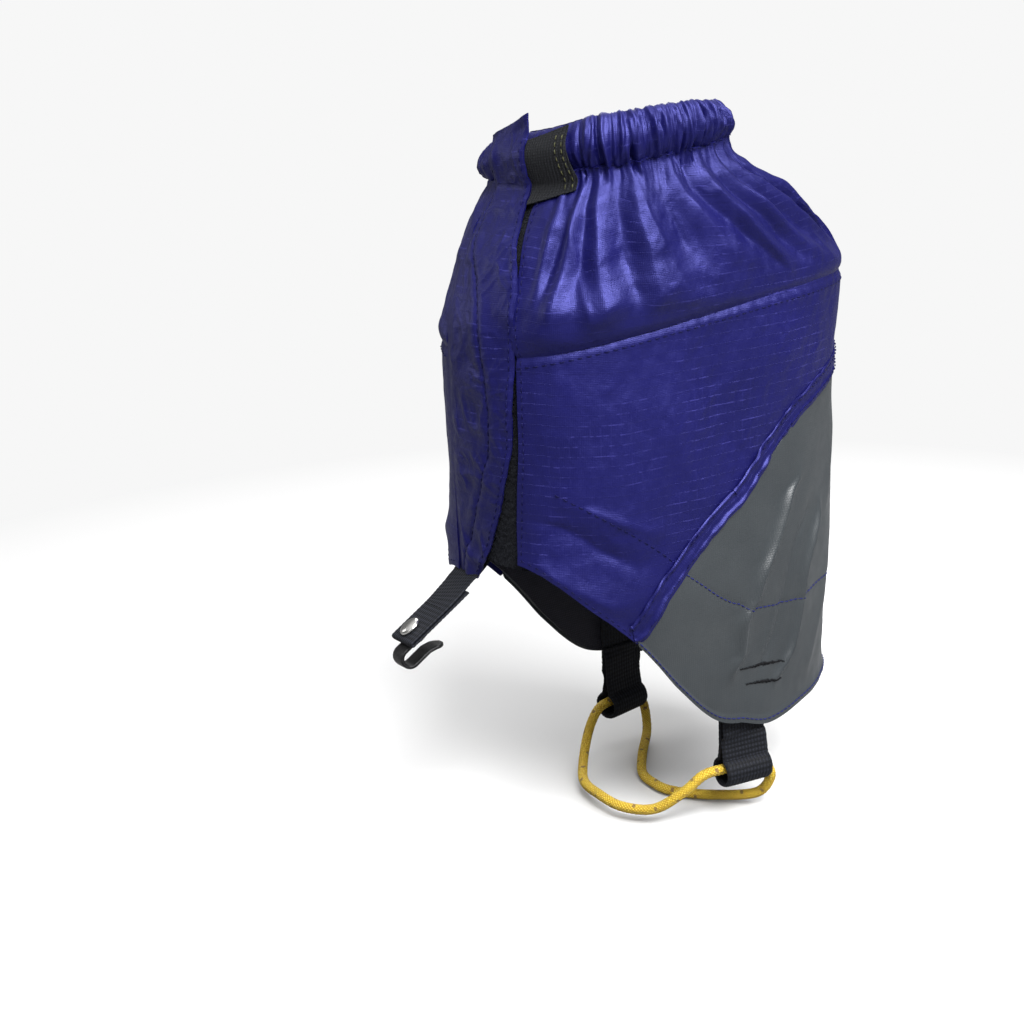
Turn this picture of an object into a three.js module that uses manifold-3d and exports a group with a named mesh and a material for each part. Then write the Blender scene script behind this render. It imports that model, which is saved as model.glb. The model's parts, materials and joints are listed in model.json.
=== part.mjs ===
// Ankle gaiter for hiking: one of a pair, in the shape it holds when it is worn over a boot.
// Millimetres, +Z up. The toe points along -Y and the side facing the other foot is +X.
// Every cloth piece is a thin closed sheet laid on one lofted leg surface.

import * as THREE from 'three';
import { mergeVertices } from 'three/addons/utils/BufferGeometryUtils.js';
import Module from 'manifold-3d';

// ---- Driving dimensions -------------------------------------------------------------------

const CLOTH = 0.8;            // thickness of one layer of shell cloth
const SEAM_GAP = 0.4;         // clearance where two sheets meet edge to edge
const PATCH_GAP = 1.2;        // the same along the heel patch's slanting edge
const LAYER_GAP = 0.9;        // clearance between stacked sheets
const COLLAR_LOW = 266;       // height of the casing's stitch line
const COLLAR_HIGH = 285;      // height of the casing's top fold
const COLLAR_DEPTH = 5;       // how far the casing reaches inwards from the leg surface
const SEAM_HEIGHT = 208;      // height of the seam between the upper and lower cloth, at the front
const SEAM_LIFT = 5;          // how much higher that seam runs at the sides
const FACING_HEIGHT = 45;     // the hem facing's height
const FACING_START = 40;      // angle from the front where the facing begins
const HINGE_X = -13;          // where the front flap folds, left of the middle
const TAPE_WIDTH = 22;        // closure tape down the front
const TAPE_LOW = 130;         // where the closure tape begins
const WEB_WIDTH = 20;         // stirrup webbing
const WEB_THICK = 1.4;
const CORD_RADIUS = 2.1;
const LACE_WEB_WIDTH = 19;    // webbing that carries the lace hook
const LACE_WEB_THICK = 2.4;   // it is folded double
const RIVET_RADIUS = 4.2;

const DEG = Math.PI / 180;

// The leg surface is a loft of rounded rings. Each ring has a half width, the places of its
// front and back, and a tilt that lifts its back.
const RINGS = [
  { height: 40, half: 44, front: -62, back: 85, tilt: 0 },
  { height: 80, half: 47, front: -67, back: 85, tilt: 0.02 },
  { height: 115, half: 51, front: -75, back: 84.5, tilt: 0.05 },
  { height: 170, half: 51.5, front: -75.5, back: 84, tilt: 0.08 },
  { height: 212, half: 50.5, front: -75, back: 85, tilt: 0.1 },
  { height: 240, half: 49, front: -66, back: 60.5, tilt: 0.12 },
  { height: 257, half: 44.5, front: -56.5, back: 36, tilt: 0.14 },
  { height: 266, half: 42, front: -51, back: 29.5, tilt: 0.13 },
  { height: 276, half: 44, front: -53.5, back: 32, tilt: 0.11 },
  { height: 285, half: 42, front: -51, back: 29.5, tilt: 0.1 },
];
const FRONT_ROUNDNESS = 2.7;
const BACK_ROUNDNESS = 2.3;

// Outlines on that surface: [position, value] pairs joined by a smooth curve.
const HEM_LINE = [
  [0, 122], [18, 132.4], [27, 130.6], [51, 112], [61, 99.7], [74.5, 73], [88, 52], [100, 45.5],
  [118, 47], [180, 48.5],
];
const PATCH_LINE = [[62, 99], [75, 117], [90, 141], [100, 156], [115, 168], [140, 175], [180, 179]];
const FLAP_EDGE = [[121, 0], [139, 14], [157, 19], [208, 25.6], [229, 23.5], [257, 12.3], [290, 10]];
const SLIT_EDGE = [[121, 19], [157, 24], [214, 28.5], [229, 25.5], [257, 14.6], [290, 13.5]];
const PATCH_START = 62;       // angle from the front where the heel patch meets the hem

// The elastic lets the collar's outer side hang lower: a drop by angle, and the share of it that
// each height takes.
const COLLAR_DROP = [[-180, 3], [-90, 12], [-30, 10.5], [0, 4.6], [18, 3], [50, 0.4], [90, 0], [180, 3]];
const DROP_SHARE = [[240, 0], [266, 0.35], [285, 1]];

// ---- Curves and the leg surface -----------------------------------------------------------

function smoothCurve(points) {
  const slopes = points.map((point, i) => {
    if (i === 0 || i === points.length - 1) return 0;
    const before = (point[1] - points[i - 1][1]) / (point[0] - points[i - 1][0]);
    const after = (points[i + 1][1] - point[1]) / (points[i + 1][0] - point[0]);
    return before * after <= 0 ? 0 : (2 * before * after) / (before + after);
  });
  return (position) => {
    const last = points.length - 1;
    if (position <= points[0][0]) return points[0][1];
    if (position >= points[last][0]) return points[last][1];
    let i = 0;
    while (position > points[i + 1][0]) i += 1;
    const span = points[i + 1][0] - points[i][0];
    const t = (position - points[i][0]) / span;
    const rise = points[i + 1][1] - points[i][1];
    const ease = t * t * (3 - 2 * t);
    const start = slopes[i] * span * t * (1 - t) ** 2;
    const end = slopes[i + 1] * span * t * t * (t - 1);
    return points[i][1] + rise * ease + start + end;
  };
}

const ringCurve = (key) => smoothCurve(RINGS.map((ring) => [ring.height, ring[key]]));
const halfWidth = ringCurve('half');
const frontReach = ringCurve('front');
const backReach = ringCurve('back');
const ringTilt = ringCurve('tilt');
const hemHeight = smoothCurve(HEM_LINE);
const patchHeight = smoothCurve(PATCH_LINE);
const flapEdge = smoothCurve(FLAP_EDGE);
const slitEdge = smoothCurve(SLIT_EDGE);
const collarDrop = smoothCurve(COLLAR_DROP);
const dropShare = smoothCurve(DROP_SHARE);
const signedTurn = (angle) => ((angle + 180) % 360) - 180;

// A point of the leg surface. The angle is 0 at the front and 90 on the inner side.
function legPoint(angle, height, offset) {
  const side = Math.sin(angle * DEG);
  const ahead = Math.cos(angle * DEG);
  const power = 2 / (ahead > 0 ? FRONT_ROUNDNESS : BACK_ROUNDNESS);
  const middle = (frontReach(height) + backReach(height)) / 2;
  const reach = ahead > 0 ? frontReach(height) - offset : backReach(height) + offset;
  const x = (halfWidth(height) + offset) * Math.sign(side) * Math.abs(side) ** power;
  const y = middle + (reach - middle) * Math.abs(ahead) ** power;
  const drop = collarDrop(signedTurn(angle)) * dropShare(height);
  return new THREE.Vector3(x, y, height + ringTilt(height) * y - drop);
}

// The angle at which the front of a ring has a given x.
function angleAt(x, height) {
  const fraction = Math.min(1, Math.abs(x) / halfWidth(height));
  return (Math.sign(x) * Math.asin(fraction ** (FRONT_ROUNDNESS / 2))) / DEG;
}

const turnFromFront = (angle) => Math.abs(signedTurn(angle));
const hemAt = (angle) => hemHeight(turnFromFront(angle));
const patchAt = (angle) => patchHeight(turnFromFront(angle));
const seamAt = (angle) => SEAM_HEIGHT + SEAM_LIFT * Math.sin(angle * DEG) ** 2;
const mix = (a, b, t) => a + (b - a) * t;

// ---- Closed shapes ------------------------------------------------------------------------

function solid(vertices, triangles) {
  const geometry = new THREE.BufferGeometry();
  const flat = vertices.flatMap((v) => [v.x, v.y, v.z]);
  geometry.setAttribute('position', new THREE.Float32BufferAttribute(flat, 3));
  geometry.setIndex(triangles);
  geometry.computeVertexNormals();
  return geometry;
}

// A thin closed sheet over a grid. place(u, v, offset) gives a point for u and v from 0 to 1,
// with u running towards the inner side and v upwards.
function sheet(columns, rows, inner, outer, place) {
  const vertices = [];
  const triangles = [];
  const index = (layer, i, j) => layer * (columns + 1) * (rows + 1) + i * (rows + 1) + j;
  for (const offset of [inner, outer]) {
    for (let i = 0; i <= columns; i += 1) {
      for (let j = 0; j <= rows; j += 1) vertices.push(place(i / columns, j / rows, offset));
    }
  }
  const quad = (a, b, c, d) => triangles.push(a, b, c, a, c, d);
  for (let i = 0; i < columns; i += 1) {
    for (let j = 0; j < rows; j += 1) {
      quad(index(1, i, j), index(1, i + 1, j), index(1, i + 1, j + 1), index(1, i, j + 1));
      quad(index(0, i, j), index(0, i, j + 1), index(0, i + 1, j + 1), index(0, i + 1, j));
    }
    quad(index(0, i, 0), index(0, i + 1, 0), index(1, i + 1, 0), index(1, i, 0));
    quad(index(0, i, rows), index(1, i, rows), index(1, i + 1, rows), index(0, i + 1, rows));
  }
  for (let j = 0; j < rows; j += 1) {
    quad(index(0, 0, j), index(1, 0, j), index(1, 0, j + 1), index(0, 0, j + 1));
    quad(index(0, columns, j), index(0, columns, j + 1), index(1, columns, j + 1),
      index(1, columns, j));
  }
  return solid(vertices, triangles);
}

// A tube with an open bore, swept along stations. Both outlines run the same way round.
function openTube(stations, outerLoop, innerLoop) {
  const vertices = [];
  const triangles = [];
  const count = outerLoop.length;
  const index = (station, loop, k) => (station * 2 + loop) * count + (k % count);
  stations.forEach((place) => {
    outerLoop.forEach((point) => vertices.push(place(point)));
    innerLoop.forEach((point) => vertices.push(place(point)));
  });
  const quad = (a, b, c, d) => triangles.push(a, b, c, a, c, d);
  const last = stations.length - 1;
  for (let k = 0; k < count; k += 1) {
    for (let s = 0; s < last; s += 1) {
      quad(index(s, 0, k), index(s + 1, 0, k), index(s + 1, 0, k + 1), index(s, 0, k + 1));
      quad(index(s, 1, k), index(s, 1, k + 1), index(s + 1, 1, k + 1), index(s + 1, 1, k));
    }
    quad(index(0, 0, k), index(0, 0, k + 1), index(0, 1, k + 1), index(0, 1, k));
    quad(index(last, 0, k), index(last, 1, k), index(last, 1, k + 1), index(last, 0, k + 1));
  }
  return solid(vertices, triangles);
}

// A ring of round section along a closed curve.
function closedCord(curve, radius, steps, sides) {
  const vertices = [];
  const triangles = [];
  const up = new THREE.Vector3(0, 0, 1);
  for (let i = 0; i < steps; i += 1) {
    const along = curve.getTangentAt(i / steps);
    const across = new THREE.Vector3().crossVectors(along, up).normalize();
    const lift = new THREE.Vector3().crossVectors(across, along);
    for (let k = 0; k < sides; k += 1) {
      const turn = (2 * Math.PI * k) / sides;
      vertices.push(curve.getPointAt(i / steps)
        .addScaledVector(across, radius * Math.cos(turn))
        .addScaledVector(lift, radius * Math.sin(turn)));
    }
  }
  for (let i = 0; i < steps; i += 1) {
    const next = (i + 1) % steps;
    for (let k = 0; k < sides; k += 1) {
      const nextSide = (k + 1) % sides;
      const corner = i * sides + k;
      const ahead = next * sides + k;
      triangles.push(corner, ahead, next * sides + nextSide);
      triangles.push(corner, next * sides + nextSide, i * sides + nextSide);
    }
  }
  return solid(vertices, triangles);
}

// ---- Materials ----------------------------------------------------------------------------

const material = (color, roughness, metalness = 0) =>
  new THREE.MeshStandardMaterial({ color, roughness, metalness });

const MATERIALS = {
  ripstop: () => material(0x2d287f, 0.45),
  coated: () => material(0x555c5f, 0.6),
  lining: () => material(0x23232f, 0.7),
  elastic: () => material(0x2a2a2e, 0.8),
  tape: () => material(0x1b1e20, 0.95),
  webbing: () => material(0x191c24, 0.85),
  thread: () => material(0x101012, 0.8),
  cord: () => material(0xe8bb2a, 0.65),
  blackSteel: () => material(0x121212, 0.35, 0.6),
  nickel: () => material(0xd6d4cc, 0.22, 1),
};

function piece(name, geometry, makeMaterial) {
  const mesh = new THREE.Mesh(geometry, makeMaterial());
  mesh.name = name;
  return mesh;
}

// ---- The shell ----------------------------------------------------------------------------

// The cloth runs from the slit's edge, round the back, to the fold of the flap.
function shellAngle(u, height) {
  const start = angleAt(slitEdge(height), height);
  const end = 360 + angleAt(HINGE_X - SEAM_GAP, height);
  return mix(start, end, u);
}

function upperPanel() {
  const place = (u, v, offset) => {
    const angle = shellAngle(u, mix(SEAM_HEIGHT, COLLAR_LOW, v));
    const height = mix(seamAt(angle) + SEAM_GAP / 2, COLLAR_LOW - SEAM_GAP, v);
    return legPoint(angle, height, offset);
  };
  return piece('upper_panel', sheet(48, 7, 0, CLOTH, place), MATERIALS.ripstop);
}

function lowerPanel() {
  const place = (u, v, offset) => {
    const nominal = shellAngle(u, mix(hemAt(shellAngle(u, 150)), SEAM_HEIGHT, v));
    const turn = turnFromFront(nominal);
    const low = turn > PATCH_START ? patchAt(nominal) + PATCH_GAP : hemAt(nominal);
    return legPoint(nominal, mix(low, seamAt(nominal) - SEAM_GAP / 2, v), offset);
  };
  return piece('lower_panel', sheet(60, 7, 0, CLOTH, place), MATERIALS.ripstop);
}

function heelPatch() {
  const start = PATCH_START + 2;
  const place = (u, v, offset) => {
    const angle = mix(start, 360 - start, u);
    return legPoint(angle, mix(hemAt(angle), patchAt(angle), v), offset);
  };
  return piece('heel_patch', sheet(40, 7, 0, CLOTH, place), MATERIALS.coated);
}

// The facing lines the hem from the inside and is stitched along its upper edge.
function hemFacing() {
  const inner = -LAYER_GAP - CLOTH;
  const place = (u, v, offset) => {
    const angle = mix(FACING_START, 360 - FACING_START, u);
    const low = hemAt(angle) + 1;
    return legPoint(angle, mix(low, low + FACING_HEIGHT, v), offset);
  };
  return piece('hem_facing', sheet(48, 2, inner, inner + CLOTH, place), MATERIALS.lining);
}

// ---- The collar ---------------------------------------------------------------------------

// The casing is cloth folded into a flat tunnel. Its section is [offset, height] pairs.
function casingLoop(inset) {
  const outer = CLOTH - inset;
  const inner = inset - COLLAR_DEPTH;
  const low = COLLAR_LOW + inset;
  const high = COLLAR_HIGH - inset;
  const middle = (low + high) / 2;
  const shoulder = 1.6;
  return [
    [outer, low + shoulder], [outer, middle], [outer, high - shoulder],
    [outer - shoulder, high], [inner + shoulder, high],
    [inner, high - shoulder], [inner, middle], [inner, low + shoulder],
    [inner + shoulder, low], [outer - shoulder, low],
  ];
}

const COLLAR_UNDERLAP = 8;    // how far the collar runs on past the slit's edge
const collarStart = (height) => angleAt(slitEdge(height) - COLLAR_UNDERLAP, height);
const collarEnd = (height) => 360 + angleAt(HINGE_X - SEAM_GAP, height);

function collarCasing() {
  const steps = 40;
  const stations = Array.from({ length: steps + 1 }, (_, i) => ([offset, height]) => {
    const angle = mix(collarStart(height), collarEnd(height), i / steps);
    return legPoint(angle, height, offset);
  });
  const geometry = openTube(stations, casingLoop(0), casingLoop(CLOTH));
  return piece('collar_casing', geometry, MATERIALS.ripstop);
}

function collarElastic() {
  const margin = 3;
  const endGap = 3;
  const thick = 1.4;
  const inner = -(COLLAR_DEPTH - CLOTH + thick) / 2;
  const place = (u, v, offset) => {
    const height = mix(COLLAR_LOW + margin, COLLAR_HIGH - margin, v);
    const angle = mix(collarStart(height) + endGap, collarEnd(height) - endGap, u);
    return legPoint(angle, height, offset);
  };
  return piece('collar_elastic', sheet(44, 2, inner, inner + thick, place), MATERIALS.elastic);
}

// ---- Closure tapes and the front flap -----------------------------------------------------

// A strip down the front between two x positions that may change with height.
function frontStrip(columns, rows, low, high, inner, outer, left, right) {
  return sheet(columns, rows, inner, outer, (u, v, offset) => {
    const height = mix(low(u), high(u), v);
    return legPoint(angleAt(mix(left(height), right(height), u), height), height, offset);
  });
}

const always = (value) => () => value;

function loopTape() {
  const outer = -LAYER_GAP;
  const inner = outer - 1.1;
  const overlap = 4;          // sewn under the slit's edge by this much
  const right = (height) => slitEdge(height) + overlap;
  const left = (height) => right(height) - TAPE_WIDTH;
  const low = always(TAPE_LOW);
  const geometry = frontStrip(4, 14, low, always(COLLAR_LOW - 2), inner, outer, left, right);
  return piece('loop_tape', geometry, MATERIALS.tape);
}

function collarTapePatch() {
  const low = (u) => COLLAR_LOW - 10.8 + 6.8 * u;
  const high = (u) => COLLAR_HIGH - 6.5 + 4.7 * u;
  const left = always(-6);
  const right = always(29);
  const inner = CLOTH + LAYER_GAP;
  const geometry = frontStrip(10, 6, low, high, inner, inner + CLOTH, left, right);
  return piece('collar_tape_patch', geometry, MATERIALS.tape);
}

// The flap lies low over the slit and rises over the tape patch on the collar.
const flapLift = smoothCurve([[121, 1.3], [235, 1.6], [252, 4.6], [290, 4.6]]);
const FLAP_SPLIT = 212;                       // where the flap bends when it is peeled back
const FLAP_LOW = 126;
const FLAP_HIGH = COLLAR_HIGH + 2.5;

function flapStrip(low, high, rows, left, right, inner, outer) {
  return sheet(6, rows, inner, outer, (u, v, offset) => {
    const height = mix(low(u), high(u), v);
    const x = mix(left(height), right(height), u);
    return legPoint(angleAt(x, height), height, flapLift(height) + offset);
  });
}

function frontFlaps() {
  const gap = 0.3;            // half the clearance between the two flap pieces
  const peak = (u) => FLAP_HIGH + 2.5 * u;
  const root = always(HINGE_X);
  const clearRoot = always(HINGE_X + 1.5);
  const lower = flapStrip(always(FLAP_LOW), always(FLAP_SPLIT - gap), 10, root, flapEdge,
    0, CLOTH);
  const upper = flapStrip(always(FLAP_SPLIT + gap), peak, 14, clearRoot, flapEdge, 0, CLOTH);
  return [
    piece('front_flap_lower', lower, MATERIALS.ripstop),
    piece('front_flap_upper', upper, MATERIALS.ripstop),
  ];
}

function hookTapes() {
  const thick = 0.6;
  const outer = -0.6;
  const gap = 0.5;            // half the clearance between the two tape pieces
  const right = (height) => flapEdge(height) - 1;
  const left = (height) => Math.max(right(height) - TAPE_WIDTH, HINGE_X + 3);
  const strip = (low, high) =>
    flapStrip(always(low), always(high), 14, left, right, outer - thick, outer);
  return [
    piece('hook_tape_lower', strip(TAPE_LOW + 4, FLAP_SPLIT - gap), MATERIALS.tape),
    piece('hook_tape_upper', strip(FLAP_SPLIT + gap, COLLAR_HIGH - 1), MATERIALS.tape),
  ];
}

// ---- Stirrup: webbing loops, bar tacks and the cord under the boot ------------------------

const LOOP_Y = 16;            // middle of the webbing, along the foot
const TAIL_X = 40;            // flat sewn end of the webbing, inside the heel patch
const TAIL_LENGTH = 30;
const TAIL_MIDDLE = 61;
const LOOP_TOP = 42;
const TUNNEL_HEIGHT = 26;     // middle of the fold that the cord runs through
const TUNNEL_RADIUS = 3.6;
const LOOP_X = 40;
const LOOP_TURN = 9 * DEG;    // the front edge of the webbing tucks in towards the arch

const sides = [
  { name: 'medial', sign: 1 },
  { name: 'lateral', sign: -1 },
];

function loopTail({ name, sign }) {
  const geometry = new THREE.BoxGeometry(WEB_THICK, WEB_WIDTH, TAIL_LENGTH);
  const mesh = piece(`side_loop_tail_${name}`, geometry, MATERIALS.webbing);
  mesh.position.set(sign * TAIL_X, LOOP_Y, TAIL_MIDDLE);
  return mesh;
}

// The strap hangs double and opens into a tunnel at the bottom fold.
function sideLoop({ name, sign }) {
  const outer = TUNNEL_RADIUS + WEB_THICK;
  const neck = Math.asin(WEB_THICK / outer);
  const outline = new THREE.Shape();
  outline.moveTo(-WEB_THICK, LOOP_TOP - TUNNEL_HEIGHT);
  outline.lineTo(-WEB_THICK, outer * Math.cos(neck));
  outline.absarc(0, 0, outer, Math.PI / 2 + neck, 2.5 * Math.PI - neck, false);
  outline.lineTo(WEB_THICK, LOOP_TOP - TUNNEL_HEIGHT);
  const tunnel = new THREE.Path();
  tunnel.absarc(0, 0, TUNNEL_RADIUS, 0, 2 * Math.PI, true);
  outline.holes.push(tunnel);
  const geometry = new THREE.ExtrudeGeometry(outline,
    { depth: WEB_WIDTH, bevelEnabled: false, curveSegments: 14 });
  geometry.translate(0, 0, -WEB_WIDTH / 2);
  geometry.rotateX(Math.PI / 2);
  const mesh = piece(`side_loop_${name}`, geometry, MATERIALS.webbing);
  mesh.position.set(sign * LOOP_X, LOOP_Y, TUNNEL_HEIGHT);
  mesh.rotation.z = -sign * LOOP_TURN;
  return mesh;
}

// Dense rows of thread that hold the webbing's tail through the heel patch.
const TACK_ROWS = [
  { row: 'upper', height: 71 },
  { row: 'lower', height: 64 },
];
const TACK_MIDDLE = 98.5;     // angle of a row's middle on the inner side
const TACK_SPREAD = 7.5;
const TACK_HEIGHT = 1.6;
const TACK_THICK = 0.8;

function barTacks({ name, sign }) {
  const inner = CLOTH + 0.3;
  return TACK_ROWS.map(({ row, height }) => {
    const place = (u, v, offset) => {
      const angle = sign * TACK_MIDDLE + mix(-TACK_SPREAD, TACK_SPREAD, u);
      return legPoint(angle, height + TACK_HEIGHT * v, offset);
    };
    const geometry = sheet(8, 1, inner, inner + TACK_THICK, place);
    return piece(`bartack_${name}_${row}`, geometry, MATERIALS.thread);
  });
}

// Half of the cord's ring, from under the arch at the front, through the inner loop, to the back.
const CORD_HALF = [
  [0, -25, 11.3], [13, -23, 10.8], [24, -15, 11.8], [32, -7, 17.5], [36, -0.5, 24],
  [38.6, 7.5, TUNNEL_HEIGHT], [41.3, 24.5, TUNNEL_HEIGHT], [42.6, 31.5, 23.7], [40.5, 35, 15.5],
  [34, 29, 9.8], [22, 15, 7.8], [10, 5, 7.3], [0, 3, 7.3],
];

function instepCord() {
  const inner = CORD_HALF.map(([x, y, z]) => new THREE.Vector3(x, y, z));
  const outer = CORD_HALF.slice(1, -1).reverse().map(([x, y, z]) => new THREE.Vector3(-x, y, z));
  const curve = new THREE.CatmullRomCurve3([...inner, ...outer], true, 'centripetal');
  return piece('instep_cord', closedCord(curve, CORD_RADIUS, 80, 8), MATERIALS.cord);
}

// ---- Lace tab with its riveted hook -------------------------------------------------------

const LACE_ROOT = new THREE.Vector3(-5, -75.5, 116.5);
const LACE_DROP = 32 * DEG;
const LACE_ROLL = -10 * DEG;
const LACE_LENGTH = 36;
const RIVET_PLACE = 30;
const HOOK_THICK = 1.2;
const HOOK_WIDTH = 9;
const HOOK_BEND = 4;
const HOOK_BACK = -6;         // rear end of the hook's plate, measured from the rivet
const HOOK_GAP = 0.35;        // clearance under the webbing and over the post's flange
const POST_RADIUS = 1.8;
const POST_HOLE = POST_RADIUS + 0.3;

// The tab's frame: x along the strap, y across it, z out of its upper face.
function laceFrame() {
  const along = new THREE.Vector3(0, -Math.cos(LACE_DROP), -Math.sin(LACE_DROP));
  const flatNormal = new THREE.Vector3(0, -Math.sin(LACE_DROP), Math.cos(LACE_DROP));
  const normal = flatNormal.applyAxisAngle(along, -LACE_ROLL);
  const across = new THREE.Vector3().crossVectors(normal, along);
  const frame = new THREE.Group();
  frame.matrixAutoUpdate = false;
  frame.matrix.makeBasis(along, across, normal).setPosition(LACE_ROOT);
  return frame;
}

function roundHole(radius, x) {
  const hole = new THREE.Path();
  hole.absarc(x, 0, radius, 0, 2 * Math.PI, true);
  return hole;
}

function laceTab() {
  const half = LACE_WEB_WIDTH / 2;
  const corner = 2;
  const outline = new THREE.Shape();
  outline.moveTo(0, -half);
  outline.lineTo(LACE_LENGTH - corner, -half);
  outline.absarc(LACE_LENGTH - corner, corner - half, corner, -Math.PI / 2, 0, false);
  outline.absarc(LACE_LENGTH - corner, half - corner, corner, 0, Math.PI / 2, false);
  outline.lineTo(0, half);
  outline.holes.push(roundHole(POST_HOLE, RIVET_PLACE));
  const geometry = new THREE.ExtrudeGeometry(outline,
    { depth: LACE_WEB_THICK, bevelEnabled: false, curveSegments: 12 });
  return piece('lace_tab', geometry, MATERIALS.webbing);
}

// A steel strip that lies under the strap, bends down ahead of the rivet and runs back again.
function hookProfile() {
  const bend = 8;
  const inner = HOOK_BEND - HOOK_THICK;
  const bottom = -2 * HOOK_BEND;
  const tip = -5;
  const lip = 2.5;
  const profile = new THREE.Shape();
  profile.moveTo(HOOK_BACK, 0);
  profile.lineTo(HOOK_BACK, -HOOK_THICK);
  profile.lineTo(bend, -HOOK_THICK);
  profile.absarc(bend, -HOOK_BEND, inner, Math.PI / 2, -Math.PI / 2, true);
  profile.lineTo(0, bottom + HOOK_THICK);
  profile.lineTo(tip, bottom + HOOK_THICK - lip);
  profile.lineTo(tip, bottom - lip);
  profile.lineTo(0, bottom);
  profile.lineTo(bend, bottom);
  profile.absarc(bend, -HOOK_BEND, HOOK_BEND, -Math.PI / 2, Math.PI / 2, false);
  return profile;
}

async function cutSolid(base, tool) {
  const wasm = await Module();
  wasm.setup();
  const toManifold = (source) => {
    const bare = source.clone();
    bare.deleteAttribute('normal');
    bare.deleteAttribute('uv');
    const merged = mergeVertices(bare, 1e-4);
    return new wasm.Manifold(new wasm.Mesh({
      numProp: 3,
      vertProperties: Float32Array.from(merged.attributes.position.array),
      triVerts: Uint32Array.from(merged.index.array),
    }));
  };
  const result = toManifold(base).subtract(toManifold(tool)).getMesh();
  const geometry = new THREE.BufferGeometry();
  geometry.setAttribute('position', new THREE.BufferAttribute(result.vertProperties, 3));
  geometry.setIndex(Array.from(result.triVerts));
  return geometry;
}

async function laceHook() {
  const strip = new THREE.ExtrudeGeometry(hookProfile(),
    { depth: HOOK_WIDTH, bevelEnabled: false, curveSegments: 14 });
  strip.translate(0, 0, -HOOK_WIDTH / 2);
  strip.rotateX(Math.PI / 2);
  const drill = new THREE.CylinderGeometry(POST_HOLE, POST_HOLE, 4, 28);
  drill.rotateX(Math.PI / 2);
  const mesh = piece('lace_hook', await cutSolid(strip, drill), MATERIALS.blackSteel);
  mesh.position.set(RIVET_PLACE, 0, -HOOK_GAP);
  return mesh;
}

function rivetCap() {
  const height = 2;
  const steps = 6;
  const profile = [new THREE.Vector2(0, 0), new THREE.Vector2(RIVET_RADIUS, 0)];
  for (let i = 1; i <= steps; i += 1) {
    const turn = (i / steps) * (Math.PI / 2);
    profile.push(new THREE.Vector2(RIVET_RADIUS * Math.cos(turn), height * Math.sin(turn)));
  }
  profile[profile.length - 1].x = 0;
  const geometry = new THREE.LatheGeometry(profile, 32);
  geometry.rotateX(Math.PI / 2);
  const mesh = piece('rivet_cap', geometry, MATERIALS.nickel);
  mesh.position.set(RIVET_PLACE, 0, LACE_WEB_THICK + 0.3);
  return mesh;
}

// The post runs through the webbing and the hook and spreads into a flange below them.
function rivetPost() {
  const flange = RIVET_RADIUS - 0.8;
  const flangeThick = 0.9;
  const low = -HOOK_THICK - 2 * HOOK_GAP;
  const profile = [
    new THREE.Vector2(0, low - flangeThick),
    new THREE.Vector2(flange, low - flangeThick),
    new THREE.Vector2(flange, low),
    new THREE.Vector2(POST_RADIUS, low),
    new THREE.Vector2(POST_RADIUS, LACE_WEB_THICK),
    new THREE.Vector2(0, LACE_WEB_THICK),
  ];
  const geometry = new THREE.LatheGeometry(profile, 28);
  geometry.rotateX(Math.PI / 2);
  const mesh = piece('rivet_post', geometry, MATERIALS.nickel);
  mesh.position.set(RIVET_PLACE, 0, 0);
  return mesh;
}

// ---- The whole gaiter ---------------------------------------------------------------------

const gaiter = new THREE.Group();
gaiter.add(upperPanel(), lowerPanel(), heelPatch(), hemFacing());
gaiter.add(collarCasing(), collarElastic(), collarTapePatch(), loopTape());
gaiter.add(...frontFlaps(), ...hookTapes());
for (const side of sides) gaiter.add(loopTail(side), sideLoop(side), ...barTacks(side));
gaiter.add(instepCord());

const lace = laceFrame();
lace.add(laceTab(), await laceHook(), rivetCap(), rivetPost());
gaiter.add(lace);

// The origin is on the ground, under the middle of the whole gaiter.
gaiter.updateMatrixWorld(true);
const bounds = new THREE.Box3().setFromObject(gaiter, true);
const middle = bounds.getCenter(new THREE.Vector3());
gaiter.position.set(-middle.x, -middle.y, -bounds.min.z);

export default gaiter;
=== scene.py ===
"""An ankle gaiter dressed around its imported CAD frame: gathered cloth, webbing, cord and metal.

Shapes are worked out in millimetres in the leg's own frame, and a mesh gets metres in the row frame.
Angles run round the leg in degrees: 0 is the front, 90 the inner side, 180 the back.
"""
import json
import math

import bpy
import numpy as np
from mathutils import Matrix, Vector

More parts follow.
